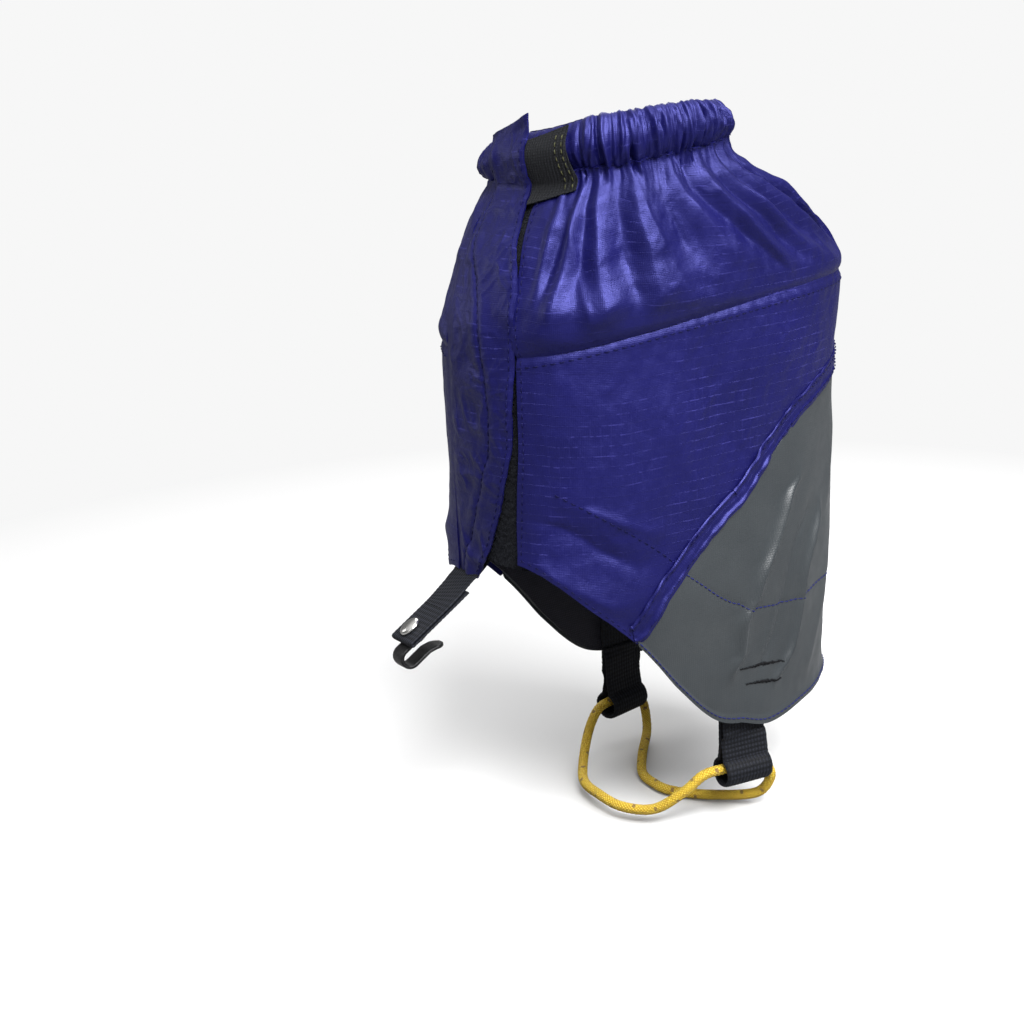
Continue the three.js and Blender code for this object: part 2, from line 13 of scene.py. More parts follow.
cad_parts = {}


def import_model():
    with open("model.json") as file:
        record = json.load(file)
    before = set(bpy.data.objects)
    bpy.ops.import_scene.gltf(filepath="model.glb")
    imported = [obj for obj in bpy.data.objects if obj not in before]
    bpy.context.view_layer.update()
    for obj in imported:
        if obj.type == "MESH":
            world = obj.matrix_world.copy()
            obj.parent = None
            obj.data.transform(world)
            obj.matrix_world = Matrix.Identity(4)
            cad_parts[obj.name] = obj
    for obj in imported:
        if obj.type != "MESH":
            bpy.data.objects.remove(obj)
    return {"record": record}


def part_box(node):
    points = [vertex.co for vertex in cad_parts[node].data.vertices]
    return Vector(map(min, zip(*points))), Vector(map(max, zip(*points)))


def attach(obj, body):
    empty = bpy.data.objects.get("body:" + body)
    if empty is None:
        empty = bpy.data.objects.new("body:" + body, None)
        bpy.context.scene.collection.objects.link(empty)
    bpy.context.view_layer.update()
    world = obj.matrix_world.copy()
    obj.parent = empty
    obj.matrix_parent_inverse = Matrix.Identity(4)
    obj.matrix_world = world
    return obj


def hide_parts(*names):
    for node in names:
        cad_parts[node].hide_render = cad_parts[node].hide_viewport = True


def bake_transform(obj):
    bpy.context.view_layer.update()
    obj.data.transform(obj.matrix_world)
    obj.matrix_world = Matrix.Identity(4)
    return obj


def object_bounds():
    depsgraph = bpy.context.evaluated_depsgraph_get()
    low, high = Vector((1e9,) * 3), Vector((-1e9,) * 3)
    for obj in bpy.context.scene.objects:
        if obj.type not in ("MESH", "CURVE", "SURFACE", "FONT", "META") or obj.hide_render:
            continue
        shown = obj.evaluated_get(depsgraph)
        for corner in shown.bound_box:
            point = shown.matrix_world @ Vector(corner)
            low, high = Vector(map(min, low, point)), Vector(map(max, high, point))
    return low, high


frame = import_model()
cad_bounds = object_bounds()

# ---- The leg surface that the CAD sheets lie on ----------------------------------------------

RINGS = {
    "height": [40, 80, 115, 170, 212, 240, 257, 266, 276, 285],
    "half": [44, 47, 51, 51.5, 50.5, 49, 44.5, 42, 44, 42],
    "front": [-62, -67, -75, -75.5, -75, -66, -56.5, -51, -53.5, -51],
    "back": [85, 85, 84.5, 84, 85, 60.5, 36, 29.5, 32, 29.5],
    "tilt": [0, 0.02, 0.05, 0.08, 0.1, 0.12, 0.14, 0.13, 0.11, 0.1],
}
FRONT_ROUNDNESS, BACK_ROUNDNESS = 2.7, 2.3
COLLAR_LOW, COLLAR_HIGH = 268, 285
SEAM_HEIGHT, SEAM_LIFT = 208, 5
HINGE_X = -13
FLAP_SPLIT = 204
PATCH_START = 62
HEM_FOLD = 4                  # the hem is turned up this far
HEM_STITCH = 2.1              # height of the hem's stitching above its edge
CLOTH = 0.6
SEAM_OVERLAP, PATCH_OVERLAP = 1.4, 1.5    # how far a panel runs on behind the one above it
TAIL_CENTRE = (40, 16, 61)    # middle of the inner loop's sewn end in the leg's frame
HEM_LINE = [(0, 122), (18, 132.5), (27, 130.5), (51, 112), (61, 99.5), (74.5, 73), (88, 52), (100, 45.5),
            (118, 47), (180, 48.5)]
PATCH_LINE = [(62, 99), (75, 117), (90, 141), (100, 156), (115, 168), (140, 175), (180, 179)]
COLLAR_DROP = [(-180, 6.5), (-135, 10), (-90, 12), (-30, 10.5), (0, 4.6), (18, 3), (50, 0.4), (80, 0.4),
               (110, 2.6), (150, 5.4), (180, 6.5)]
FACING_LINE = [(28, 164), (36, 160), (48, 153), (58, 145.5), (67, 137), (73, 130), (78, 122), (83.5, 114),
               (88, 106), (92.5, 98.5), (99, 96), (108, 93.5), (118, 92.5), (130, 93.5), (180, 95)]


def smooth_curve(points):
    """A smooth curve without overshoot through (position, value) pairs, as a function of arrays."""
    at = np.array([p[0] for p in points], float)
    value = np.array([p[1] for p in points], float)
    steps = np.diff(value) / np.diff(at)
    slope = np.zeros(len(points))
    for i in range(1, len(points) - 1):
        before, after = steps[i - 1], steps[i]
        slope[i] = 0 if before * after <= 0 else 2 * before * after / (before + after)

    def curve(position):
        position = np.clip(np.asarray(position, float), at[0], at[-1])
        i = np.clip(np.searchsorted(at, position, "right") - 1, 0, len(at) - 2)
        span = at[i + 1] - at[i]
        t = (position - at[i]) / span
        share = t * t * (3 - 2 * t)
        start = slope[i] * span * t * (1 - t) ** 2
        end = slope[i + 1] * span * t * t * (t - 1)
        return value[i] + (value[i + 1] - value[i]) * share + start + end

    return curve


RING = {key: smooth_curve(list(zip(RINGS["height"], RINGS[key]))) for key in RINGS if key != "height"}
hem_height = smooth_curve(HEM_LINE)
patch_height = smooth_curve(PATCH_LINE)
collar_drop = smooth_curve(COLLAR_DROP)
drop_share = smooth_curve([(240, 0), (266, 0.35), (285, 1)])
facing_line = smooth_curve(FACING_LINE)
collar_tuck = smooth_curve([(-180, 2.4), (-110, 0.8), (-60, 0), (0, 0), (80, 0), (105, 1.4), (140, 3.2),
                            (180, 2.4)])
heel_tuck = smooth_curve([(0, 0), (85, 0), (110, 1.2), (145, 2.6), (180, 2.0)])
tuck_share = smooth_curve([(40, 0.5), (60, 0.8), (110, 1), (180, 0.8), (212, 0), (232, 1.0), (252, 0.9),
                           (266, 0)])
flap_edge = smooth_curve([(121, 0), (127, 4), (131, 7), (143, 13), (153, 16.5), (166, 20), (179, 22.5),
                          (191, 23.5), (209, 24.5), (229, 23), (257, 12.5), (290, 10)])
slit_edge = smooth_curve([(121, 22.5), (135, 22.5), (154, 23.5), (179, 25), (205, 25), (214, 24), (229, 22),
                          (240, 19.5), (250, 16.5), (257, 15), (290, 13.5)])
flap_stitch = smooth_curve([(121, -9), (149, 2.5), (186, 13), (220, 8.5), (251, -9), (290, -12)])
flap_height = smooth_curve([(121, 1.2), (235, 1.3), (256, 1.9), (290, 1.9)])


def ease(value, low, high):
    t = np.clip((np.asarray(value, float) - low) / (high - low), 0, 1)
    return t * t * (3 - 2 * t)


def bump(value, centre, width):
    return np.exp(-((np.asarray(value, float) - centre) / width) ** 2)


def unit(vectors):
    return vectors / np.linalg.norm(vectors, axis=-1, keepdims=True)


def signed_turn(angle):
    """The angle from the front, from -180 on the outer side to 180."""
    return (np.asarray(angle, float) + 180) % 360 - 180


def turn_from_front(angle):
    return np.abs(signed_turn(angle))


def leg_base(angle, height):
    turn = np.radians(angle)
    side, ahead = np.sin(turn), np.cos(turn)
    power = 2 / np.where(ahead > 0, FRONT_ROUNDNESS, BACK_ROUNDNESS)
    front, back = RING["front"](height), RING["back"](height)
    middle = (front + back) / 2
    reach = np.where(ahead > 0, front, back)
    x = RING["half"](height) * np.sign(side) * np.abs(side) ** power
    y = middle + (reach - middle) * np.abs(ahead) ** power
    drop = collar_drop(signed_turn(angle)) * drop_share(height)
    return np.stack(np.broadcast_arrays(x, y, height + RING["tilt"](height) * y - drop), -1)


def leg_normal(angle, height):
    across = leg_base(angle + 0.4, height) - leg_base(angle - 0.4, height)
    up = leg_base(angle, height + 0.6) - leg_base(angle, height - 0.6)
    return unit(np.cross(across, up))


def leg_point(angle, height, lift):
    """A point that stands lift millimetres off the leg surface."""
    angle, height, lift = np.broadcast_arrays(angle, height, lift)
    return leg_base(angle, height) + leg_normal(angle, height) * lift[..., None]


def angle_at(x, height):
    """The angle at which the front of a ring has a given x."""
    share = np.clip(np.abs(x) / RING["half"](height), 0, 1)
    return np.degrees(np.sign(x) * np.arcsin(share ** (FRONT_ROUNDNESS / 2)))


def hem_at(angle):
    """The hem's height. Its front corner stays low on the outer side."""
    turn = signed_turn(angle)
    return hem_height(np.abs(turn)) - np.where(turn < 0, 13 * bump(turn, -21, 13), 0)


def patch_at(angle):
    return patch_height(turn_from_front(angle))


def seam_at(angle):
    return SEAM_HEIGHT + SEAM_LIFT * np.sin(np.radians(angle)) ** 2


def travel(path):
    """The distance along a path at each of its points."""
    return np.concatenate([[0], np.cumsum(np.linalg.norm(np.diff(path, axis=0), axis=1))])


GIRTH_ANGLES = np.linspace(-90, 450, 4321)
GIRTH = travel(leg_base(GIRTH_ANGLES, 200.0))
GIRTH -= np.interp(0, GIRTH_ANGLES, GIRTH)
FULL_GIRTH = np.interp(360, GIRTH_ANGLES, GIRTH)


def girth_at(angle):
    """Millimetres of cloth round the leg from the front."""
    return np.interp(angle, GIRTH_ANGLES, GIRTH)


def angle_of_girth(girth):
    return np.interp(girth, GIRTH, GIRTH_ANGLES)


NOISE_CELLS = 97


def noise(x, y, seed):
    """Smooth value noise between -1 and 1, one cell per unit."""
    cells = np.random.default_rng(seed).uniform(-1, 1, (NOISE_CELLS, NOISE_CELLS))
    x, y = np.broadcast_arrays(np.asarray(x, float), np.asarray(y, float))
    xi, yi = np.floor(x).astype(int), np.floor(y).astype(int)
    fx, fy = x - xi, y - yi
    fx, fy = fx * fx * (3 - 2 * fx), fy * fy * (3 - 2 * fy)
    corner = lambda i, j: cells[(xi + i) % NOISE_CELLS, (yi + j) % NOISE_CELLS]
    low = corner(0, 0) * (1 - fx) + corner(1, 0) * fx
    high = corner(0, 1) * (1 - fx) + corner(1, 1) * fx
    return low * (1 - fy) + high * fy


# ---- Where things are, from the frame --------------------------------------------------------


def box_centre(node):
    low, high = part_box(node)
    return (np.array(low) + np.array(high)) * 500


SHIFT = box_centre("side_loop_tail_medial") - np.array(TAIL_CENTRE, float)
JOINTS = {joint["name"]: joint for joint in frame["record"]["behaviour"]["joints"]}


def to_row(points):
    return (np.asarray(points, float) + SHIFT) / 1000


def row_point(x, y, z):
    return tuple(to_row([x, y, z]))


# ---- Meshes ----------------------------------------------------------------------------------


def add_to_scene(name, data):
    made = bpy.data.objects.new(name, data)
    bpy.context.scene.collection.objects.link(made)
    return made


def mesh_object(name, points, faces, uv=None):
    mesh = bpy.data.meshes.new(name)
    mesh.from_pydata(to_row(points).tolist(), [], [list(map(int, f)) for f in faces])
    if uv is not None:
        layer = mesh.uv_layers.new(name="weave")
        loops = np.empty(len(mesh.loops), int)
        mesh.loops.foreach_get("vertex_index", loops)
        layer.data.foreach_set("uv", np.asarray(uv, float)[loops].astype(np.float32).ravel())
    mesh.polygons.foreach_set("use_smooth", [True] * len(mesh.polygons))
    mesh.update()
    return add_to_scene(name, mesh)


def grid_faces(columns, rows, start=0):
    i, j = np.meshgrid(np.arange(columns - 1), np.arange(rows - 1), indexing="ij")
    a, b = start + i * rows + j, start + (i + 1) * rows + j
    return np.stack([a, b, b + 1, a + 1], -1).reshape(-1, 4)


def grid_normals(points):
    normal = np.cross(np.gradient(points, axis=0), np.gradient(points, axis=1))
    length = np.linalg.norm(normal, axis=-1, keepdims=True)
    return normal / np.maximum(length, 1e-9)


def weave_uv(across, along):
    """Weave coordinates in millimetres from two arrays that broadcast together."""
    return np.stack(np.broadcast_arrays(across, along), -1)


SHARP_DEGREES = 72


def sheet(name, points, thick, uv):
    """A closed thin sheet. points is the outer face, columns by rows, seen from outside."""
    columns, rows = points.shape[:2]
    inner = points - grid_normals(points) * thick
    count = columns * rows
    front = grid_faces(columns, rows)
    back = grid_faces(columns, rows, count)[:, ::-1]
    edge = np.concatenate([
        np.arange(columns) * rows,
        (columns - 1) * rows + np.arange(1, rows),
        np.arange(columns - 2, -1, -1) * rows + rows - 1,
        np.arange(rows - 2, 0, -1),
    ])
    after = np.roll(edge, -1)
    rim = np.stack([edge, edge + count, after + count, after], -1)
    flat = np.concatenate([points.reshape(-1, 3), inner.reshape(-1, 3)])
    faces = np.concatenate([front, back, rim])
    made = mesh_object(name, flat, faces, np.concatenate([uv.reshape(-1, 2)] * 2))
    made.data.set_sharp_from_angle(angle=math.radians(SHARP_DEGREES))
    return made


def tube(name, rings, uv=None, closed=False):
    """A skin through rings of points, with flat ends unless it closes on itself."""
    rings = np.asarray(rings, float)
    count, sides = rings.shape[:2]
    i, k = np.meshgrid(np.arange(count if closed else count - 1), np.arange(sides), indexing="ij")
    after, beside = (i + 1) % count, (k + 1) % sides
    faces = np.stack([i * sides + k, i * sides + beside, after * sides + beside, after * sides + k], -1)
    faces = faces.reshape(-1, 4).tolist()
    if not closed:
        faces.append(list(range(sides))[::-1])
        faces.append([(count - 1) * sides + k for k in range(sides)])
    return mesh_object(name, rings.reshape(-1, 3), faces, uv)


def frames_along(path, across=None):
    """Side and lift directions at each point of a path. across keeps the side fixed."""
    tangent = unit(np.gradient(path, axis=0))
    side = np.cross(tangent, [0, 0, 1.0]) if across is None else np.asarray(across, float)
    side = unit(side - tangent * np.sum(side * tangent, axis=1, keepdims=True))
    return side, np.cross(side, tangent)


def rings_along(path, side, lift, wide, deep):
    """Rings of points round a path, wide along side and deep along lift."""
    return path[:, None] + side[:, None] * wide[..., None] + lift[:, None] * deep[..., None]


def resample(path, step):
    path = np.asarray(path, float)
    length = travel(path)
    places = np.linspace(0, length[-1], max(2, int(round(length[-1] / step)) + 1))
    return np.stack([np.interp(places, length, path[:, axis]) for axis in range(3)], -1)


# ---- Materials -------------------------------------------------------------------------------

WEB_RIB, WEB_YARN = 1.9, 1.5    # spacing of the ribs across webbing and of the yarns along it
TAPE_RIB = 1.15                 # spacing of the ribs along woven tape


class Shader:
    """Short forms for building one node material."""

    def __init__(self, name, roughness, metallic=0.0):
        self.material = bpy.data.materials.new(name)
        self.material.use_nodes = True
        self.tree = self.material.node_tree
        self.surface = self.tree.nodes["Principled BSDF"]
        self.set("Roughness", roughness)
        self.set("Metallic", metallic)

    def set(self, name, value):
        """Gives one input of the surface a value, or links an output to it."""
        slot = self.surface.inputs[name]
        if isinstance(value, tuple):
            slot.default_value = (*value, 1)
        elif isinstance(value, (int, float)):
            slot.default_value = value
        else:
            self.link(value, slot)

    def node(self, kind, inputs=None, **values):
        made = self.tree.nodes.new(kind)
        for key, value in values.items():
            setattr(made, key, value)
        for key, value in (inputs or {}).items():
            if isinstance(value, (int, float)):
                made.inputs[key].default_value = value
            else:
                self.link(value, made.inputs[key])
        return made

    def link(self, source, target):
        self.tree.links.new(source, target)

    def math(self, operation, a, b=0.0, c=0.0):
        return self.node("ShaderNodeMath", {0: a, 1: b, 2: c}, operation=operation).outputs[0]

    def times(self, a, b):
        return self.math("MULTIPLY", a, b)

    def plus(self, a, b):
        return self.math("ADD", a, b)

    def weave(self):
        """The cloth's own coordinates in millimetres, as two outputs."""
        source = self.node("ShaderNodeUVMap", uv_map="weave")
        return self.node("ShaderNodeSeparateXYZ", {0: source.outputs[0]}).outputs[:2]

    def place(self, scale=1000.0):
        """The object's coordinates, in millimetres unless scale says otherwise."""
        source = self.node("ShaderNodeTexCoord").outputs["Object"]
        return self.node("ShaderNodeVectorMath", {0: source, "Scale": scale}, operation="SCALE").outputs[0]

    def noise(self, vector, scale, detail=2.0):
        inputs = {"Scale": scale, "Detail": detail, "Vector": vector}
        return self.node("ShaderNodeTexNoise", inputs).outputs["Fac"]

    def ramp(self, value, low, high, first=0.0, last=1.0):
        inputs = {"From Min": low, "From Max": high, "To Min": first, "To Max": last, "Value": value}
        return self.node("ShaderNodeMapRange", inputs).outputs["Result"]

    def mix(self, factor, a, b):
        made = self.node("ShaderNodeMix", {0: factor}, data_type="RGBA")
        for slot, value in ((made.inputs[6], a), (made.inputs[7], b)):
            if isinstance(value, tuple):
                slot.default_value = (*value, 1)
            else:
                self.link(value, slot)
        return made.outputs[2]

    def tones(self, value, low, high, dark, light):
        """Dark where value is low, light where it is high."""
        return self.mix(self.ramp(value, low, high), dark, light)

    def line(self, value, pitch, width):
        """1 on a thin line that repeats every pitch, 0 between."""
        wave = self.math("PINGPONG", value, pitch / 2)
        return self.math("LESS_THAN", wave, width / 2)

    def wave(self, value, pitch):
        """A sine between 0 and 1."""
        turned = self.math("SINE", self.times(value, 2 * math.pi / pitch))
        return self.math("MULTIPLY_ADD", turned, 0.5, 0.5)

    def threads(self, across, along):
        """The crossing threads of a plain weave with these two pitches."""
        u, v = self.weave()
        return self.times(self.wave(u, across), self.wave(v, along))

    def sheen(self, weight, tint, roughness):
        self.set("Sheen Weight", weight)
        self.set("Sheen Tint", tint)
        self.set("Sheen Roughness", roughness)

    def relief(self, height, depth):
        """Bump of a given depth in millimetres."""
        made = self.node("ShaderNodeBump", {"Distance": depth / 1000, "Strength": 1.0, "Height": height})
        self.set("Normal", made.outputs[0])


def ripstop_material():
    grid = 3.6
    s = Shader("blue_ripstop", 0.42)
    u, v = s.weave()
    place = s.place()
    cloudy = s.noise(place, 0.035, 3)
    # The ripstop grid's thicker threads are raised in the relief. Their lighter colour, broken into dashes
    # and shown only in patches, is a painted highlight.
    patchy = s.ramp(s.noise(place, 0.05, 2), 0.5, 0.6)
    broken = s.ramp(s.noise(place, 0.42, 3), 0.44, 0.58)
    across = s.line(v, grid, 0.36)
    upright = s.times(s.line(u, grid, 0.3), 0.25)
    grid_highlight = s.times(s.times(s.math("MAXIMUM", across, upright), broken), patchy)
    threads = s.threads(0.6, 0.6)
    base = s.tones(cloudy, 0.3, 0.7, (0.0036, 0.0036, 0.053), (0.0055, 0.0052, 0.071))
    # Lighter where the threads cross and darker between them: painted highlight and shade that follow the
    # weave's relief.
    base = s.mix(s.times(threads, 0.25), base, (0.010, 0.009, 0.10))
    s.set("Base Color", s.mix(s.times(grid_highlight, 0.34), base, (0.075, 0.072, 0.36)))
    s.set("Roughness", s.ramp(s.noise(place, 0.3, 4), 0.3, 0.7, 0.38, 0.5))
    s.set("Specular IOR Level", 0.95)
    s.set("Specular Tint", (0.3, 0.31, 1.0))
    s.sheen(0.03, (0.4, 0.4, 1.0), 0.35)
    crinkle = s.times(s.noise(place, 0.2, 5), 4.0)
    height = s.plus(s.times(across, 0.4), s.times(threads, 0.35))
    s.relief(s.plus(height, crinkle), 0.1)
    return s.material


def coated_material():
    s = Shader("grey_coated_cloth", 0.5)
    place = s.place()
    threads = s.threads(0.9, 0.9)
    base = s.tones(s.noise(place, 0.03, 3), 0.3, 0.7, (0.027, 0.033, 0.038), (0.041, 0.048, 0.053))
    # The crossings of the threads are painted lighter than the gaps between them: painted highlight and shade
    # that follow the weave's relief.
    s.set("Base Color", s.mix(s.times(threads, 0.25), base, (0.060, 0.069, 0.076)))
    s.set("Roughness", s.ramp(s.noise(place, 0.2, 4), 0.3, 0.7, 0.33, 0.45))
    s.set("Specular IOR Level", 0.75)
    s.sheen(0.04, (0.85, 0.9, 1.0), 0.4)
    scuff = s.times(s.noise(place, 0.18, 5), 2.0)
    s.relief(s.plus(s.times(threads, 0.5), scuff), 0.07)
    return s.material


def plain_weave_material(name, roughness, pitches, dark, light, depth):
    s = Shader(name, roughness)
    threads = s.threads(*pitches)
    # Dark between the threads and light where they cross: painted shade and highlight that follow the weave's
    # relief.
    s.set("Base Color", s.mix(threads, dark, light))
    s.relief(threads, depth)
    return s.material


def strap_material(name, roughness, pitches, lint, tones, sheen, relief):
    """Dull ribbed strap with lint on it. lint holds the scale and range of its noise and its share of the
    colour, tones the painted shade in the hollows between the yarns, the yarn and the lint, and relief the
    share of the threads that lie side by side across the strap, the share of the lint, and the depth."""
    s = Shader(name, roughness)
    u, v = s.weave()
    yarns = s.wave(u, pitches[0]), s.wave(v, pitches[1])
    scale, low, high, share = lint
    fluff = s.ramp(s.noise(s.place(), scale, 3), low, high)
    # Darker in the hollows between the yarns and lighter on them: painted shade and highlight that follow the
    # ribs' relief.
    s.set("Base Color", s.mix(s.times(fluff, share), s.mix(s.times(*yarns), tones[0], tones[1]), tones[2]))
    s.set("Specular IOR Level", 0.25)
    s.sheen(*sheen, 0.5)
    rib_share, fluff_share, depth = relief
    s.relief(s.plus(s.times(yarns[0], rib_share), s.times(fluff, fluff_share)), depth)
    return s.material


def fuzzy_tape_material(name, coarse):
    s = Shader(name, 0.98)
    s.set("Specular IOR Level", 0.1)
    tufts = s.noise(s.place(), coarse, 5)
    s.set("Base Color", s.tones(tufts, 0.4, 0.8, (0.0025, 0.0025, 0.004), (0.014, 0.015, 0.02)))
    s.sheen(0.08, (0.5, 0.55, 0.65), 0.6)
    s.relief(tufts, 0.7)
    return s.material


def thread_material(name, dark, light):
    s = Shader(name, 0.6)
    twist = s.noise(s.place(), 2.2, 3)
    s.set("Base Color", s.tones(twist, 0.35, 0.7, dark, light))
    s.set("Specular IOR Level", 0.15)
    s.relief(twist, 0.08)
    return s.material


def cord_material():
    braid, fleck_gap, fleck_long = 1.32, 9.5, 1.3
    s = Shader("yellow_cord", 0.55)
    u, v = s.weave()
    strands = s.times(s.wave(s.plus(u, v), braid), s.wave(s.math("SUBTRACT", u, v), braid))
    soil = s.noise(s.place(), 0.25, 4)
    base = s.tones(soil, 0.35, 0.75, (0.60, 0.33, 0.008), (0.74, 0.48, 0.015))
    # Bright yellow on the braid's crests, with the darker base tones left between the strands: painted
    # highlight and painted shade that follow the strands' relief.
    base = s.mix(s.ramp(strands, 0.1, 0.7), base, (1.0, 0.82, 0.13))
    round_side = s.line(s.plus(u, s.times(v, 0.21)), 6.6, 1.9)
    fleck = s.times(s.line(v, fleck_gap, fleck_long), round_side)
    s.set("Base Color", s.mix(s.times(fleck, 0.75), base, (0.16, 0.07, 0.045)))
    s.sheen(0.15, (1.0, 0.9, 0.5), 0.4)
    s.relief(strands, 0.45)
    return s.material


def metal_material(name, dark, light, low, high, metallic):
    """Worn metal whose roughness runs from low to high."""
    s = Shader(name, low, metallic)
    place = s.place()
    s.set("Base Color", s.tones(s.noise(place, 0.9, 6), 0.35, 0.7, dark, light))
    s.set("Roughness", s.ramp(s.noise(place, 2.5, 5), 0.35, 0.7, low, high))
    s.relief(s.noise(place, 1.2, 2), 0.006)
    return s.material


MATERIALS = {
    "ripstop": ripstop_material(),
    "coated_cloth": coated_material(),
    "lining": plain_weave_material("dark_lining", 0.75, (1.0, 1.0), (0.012, 0.012, 0.02),
                                   (0.035, 0.035, 0.055), 0.08),
    "elastic": plain_weave_material("ribbed_elastic", 0.8, (0.8, 1.2), (0.014, 0.014, 0.016),
                                    (0.06, 0.06, 0.065), 0.2),
    "webbing": strap_material(
        "black_webbing", 0.7, (WEB_YARN, WEB_RIB), (1.4, 0.55, 0.8, 0.2),
        [(0.002, 0.0025, 0.0045), (0.012, 0.014, 0.022), (0.025, 0.027, 0.035)],
        (0.03, (0.7, 0.75, 0.9)), (0.9, 0.6, 0.14)),
    "closure_tape": strap_material(
        "woven_tape", 0.85, (TAPE_RIB, 0.8), (1.8, 0.5, 0.75, 0.15),
        [(0.003, 0.0035, 0.0055), (0.016, 0.017, 0.021), (0.035, 0.038, 0.036)],
        (0.04, (0.8, 0.85, 0.9)), (1.0, 0.8, 0.16)),
    "loop_pile": fuzzy_tape_material("loop_pile", 1.5),
    "hook_field": fuzzy_tape_material("hook_field", 0.9),
    "black_thread": thread_material("black_thread", (0.003, 0.003, 0.004), (0.012, 0.012, 0.014)),
    "blue_thread": thread_material("blue_thread", (0.003, 0.003, 0.035), (0.007, 0.007, 0.075)),
    "seam_thread": thread_material("seam_thread", (0.010, 0.013, 0.085), (0.025, 0.03, 0.17)),
    "grey_thread": thread_material("grey_thread", (0.025, 0.027, 0.015), (0.09, 0.09, 0.04)),
    "cord": cord_material(),
    "black_steel": metal_material("black_steel", (0.008, 0.008, 0.009), (0.03, 0.03, 0.032), 0.28, 0.5, 0.5),
    "nickel": metal_material("nickel", (0.80, 0.79, 0.77), (0.88, 0.87, 0.85), 0.2, 0.26, 1.0),
}


def dress(piece, material, body=None, replaces=()):
    piece.data.materials.append(MATERIALS[material])
    if replaces:
        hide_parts(*replaces)
    if body:
        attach(piece, body)
    return piece


# ---- How each cloth stands off the leg surface ----------------------------------------------

GATHERS, GATHER_DEPTH = 46, 3.0


def gathers(angle, height):
    """Puckers with round crests and sharp valleys, from -0.65 to 0.4. They lean over as they rise."""
    girth = girth_at(angle) + 0.16 * (height - COLLAR_LOW)
    uneven = 2.6 * noise(girth / 15, 0.5, 11) + 1.1 * noise(girth / 6, 0.5, 12)
    lean = 0.08 * (height - COLLAR_LOW) * noise(girth / 18, 0.5, 13)
    phase = 2 * math.pi * GATHERS * girth / FULL_GIRTH + uneven + lean
    size = 0.8 + 0.75 * noise(girth / 6, height / 14, 14)
    small = 0.2 * np.cos(1.9 * phase + 3 * noise(girth / 9, height / 9, 15))
    return (np.abs(np.cos(phase / 2)) ** 0.65 - 0.68 + small) * size


def front_x(angle, height):
    """The x of a point of the surface, and whether it is on the front half."""
    return leg_base(angle, height)[..., 0], np.cos(np.radians(angle)) > 0


def flap_rise(angle, height):
    """The outer side of the shell climbs to meet the flap's root."""
    x, front = front_x(angle, height)
    return np.where(front & (x < 0), (flap_height(height) - 0.5) * ease(x, -34, HINGE_X), 0)


def calm_front(angle, height, reach, margin=2):
    """0 along the slit and the flap's root, 1 away from them."""
    x, front = front_x(angle, height)
    near_slit = 1 - ease(x, slit_edge(height) + margin, slit_edge(height) + margin + reach)
    near_root = 1 - ease(-x, -HINGE_X, -HINGE_X + reach)
    return 1 - np.where(front, np.where(x > 0, near_slit, near_root), 0)


# Crests and hollows that run down from the collar, in order round the leg: angle at the top, angle
# at the foot, height of the foot, and how far the cloth stands out there.
FOLDS = [
    (20, 18, 230, 0), (26, 24, 228, -0.5), (30, 28, 226, 1.4), (37, 31.5, 226, -0.9),
    (40.5, 36, 216, 2.1), (44, 45, 224, -1.1), (48, 56, 214, 2.7), (58.5, 66, 219, -1.6),
    (67.5, 71.5, 218, 3.1), (79, 83.5, 231, -1.6), (84.5, 92.5, 226, 2.5), (88.5, 99, 232, -1.3),
    (94, 107, 219, 2.6), (101, 114, 224, -1.4), (107, 121, 218, 2.3), (113, 127, 226, -1.3),
]


def all_folds():
    """The listed folds, and more in the same manner round the rest of the leg."""
    rng = np.random.default_rng(5)
    made = list(FOLDS)
    first, last = 119.0, 322
    top = first
    while top < last:
        lean = (top - 200) * -0.05 + 12 * math.exp(-(top - first) / 30)
        made.append((top, top + rng.uniform(-2, 4) + lean, rng.uniform(215, 223), rng.uniform(1.8, 3.0)))
        top += rng.uniform(6, 10)
        made.append((top, top + rng.uniform(-1, 3) + lean, rng.uniform(221, 233), -rng.uniform(1.0, 1.7)))
        top += rng.uniform(4, 8)
    return made + [(334, 334, 230, 0)]


ALL_FOLDS = all_folds()


def drape(angle, height):
    """The long folds' height above the surface: flat facets between softened crests and hollows."""
    girth, height = np.broadcast_arrays(girth_at(angle), height)
    lines, levels = [], []
    for i, (top, low, foot, stand) in enumerate(ALL_FOLDS):
        reach = np.clip((COLLAR_LOW - height) / (COLLAR_LOW - foot), 0, 1.3)
        wobble = 0.9 * noise(height / 12, 0.5, 200 + i)
        lines.append(girth_at(top) + (girth_at(low) - girth_at(top)) * reach ** 1.2 + wobble)
        levels.append(stand * (0.45 + 0.55 * ease(reach, 0.0, 0.5)) * ease(height, foot - 4, foot + 10))
    total = np.zeros(height.shape)
    for i in range(len(lines) - 1):
        share = np.clip((girth - lines[i]) / np.maximum(lines[i + 1] - lines[i], 0.5), 0, 1)
        soft = 0.3 * share + 0.7 * share * share * (3 - 2 * share)
        inside = (girth >= lines[i]) & (girth < lines[i + 1])
        total = np.where(inside, levels[i] + (levels[i + 1] - levels[i]) * soft, total)
    return total


def slack(angle, height):
    """How far the cloth hangs inside the sheet's nominal surface at the back and the heel."""
    turn = signed_turn(angle)
    back = heel_tuck(np.abs(turn)) * tuck_share(height)
    top = collar_tuck(turn) * ease(height, 250, 267)
    corner = -1.8 * bump(turn, -28, 16) * (1 - ease(height, 122, 165))
    return back + top + corner + 1.2 * bump(height, 232, 14) * bump(turn, -45, 40)


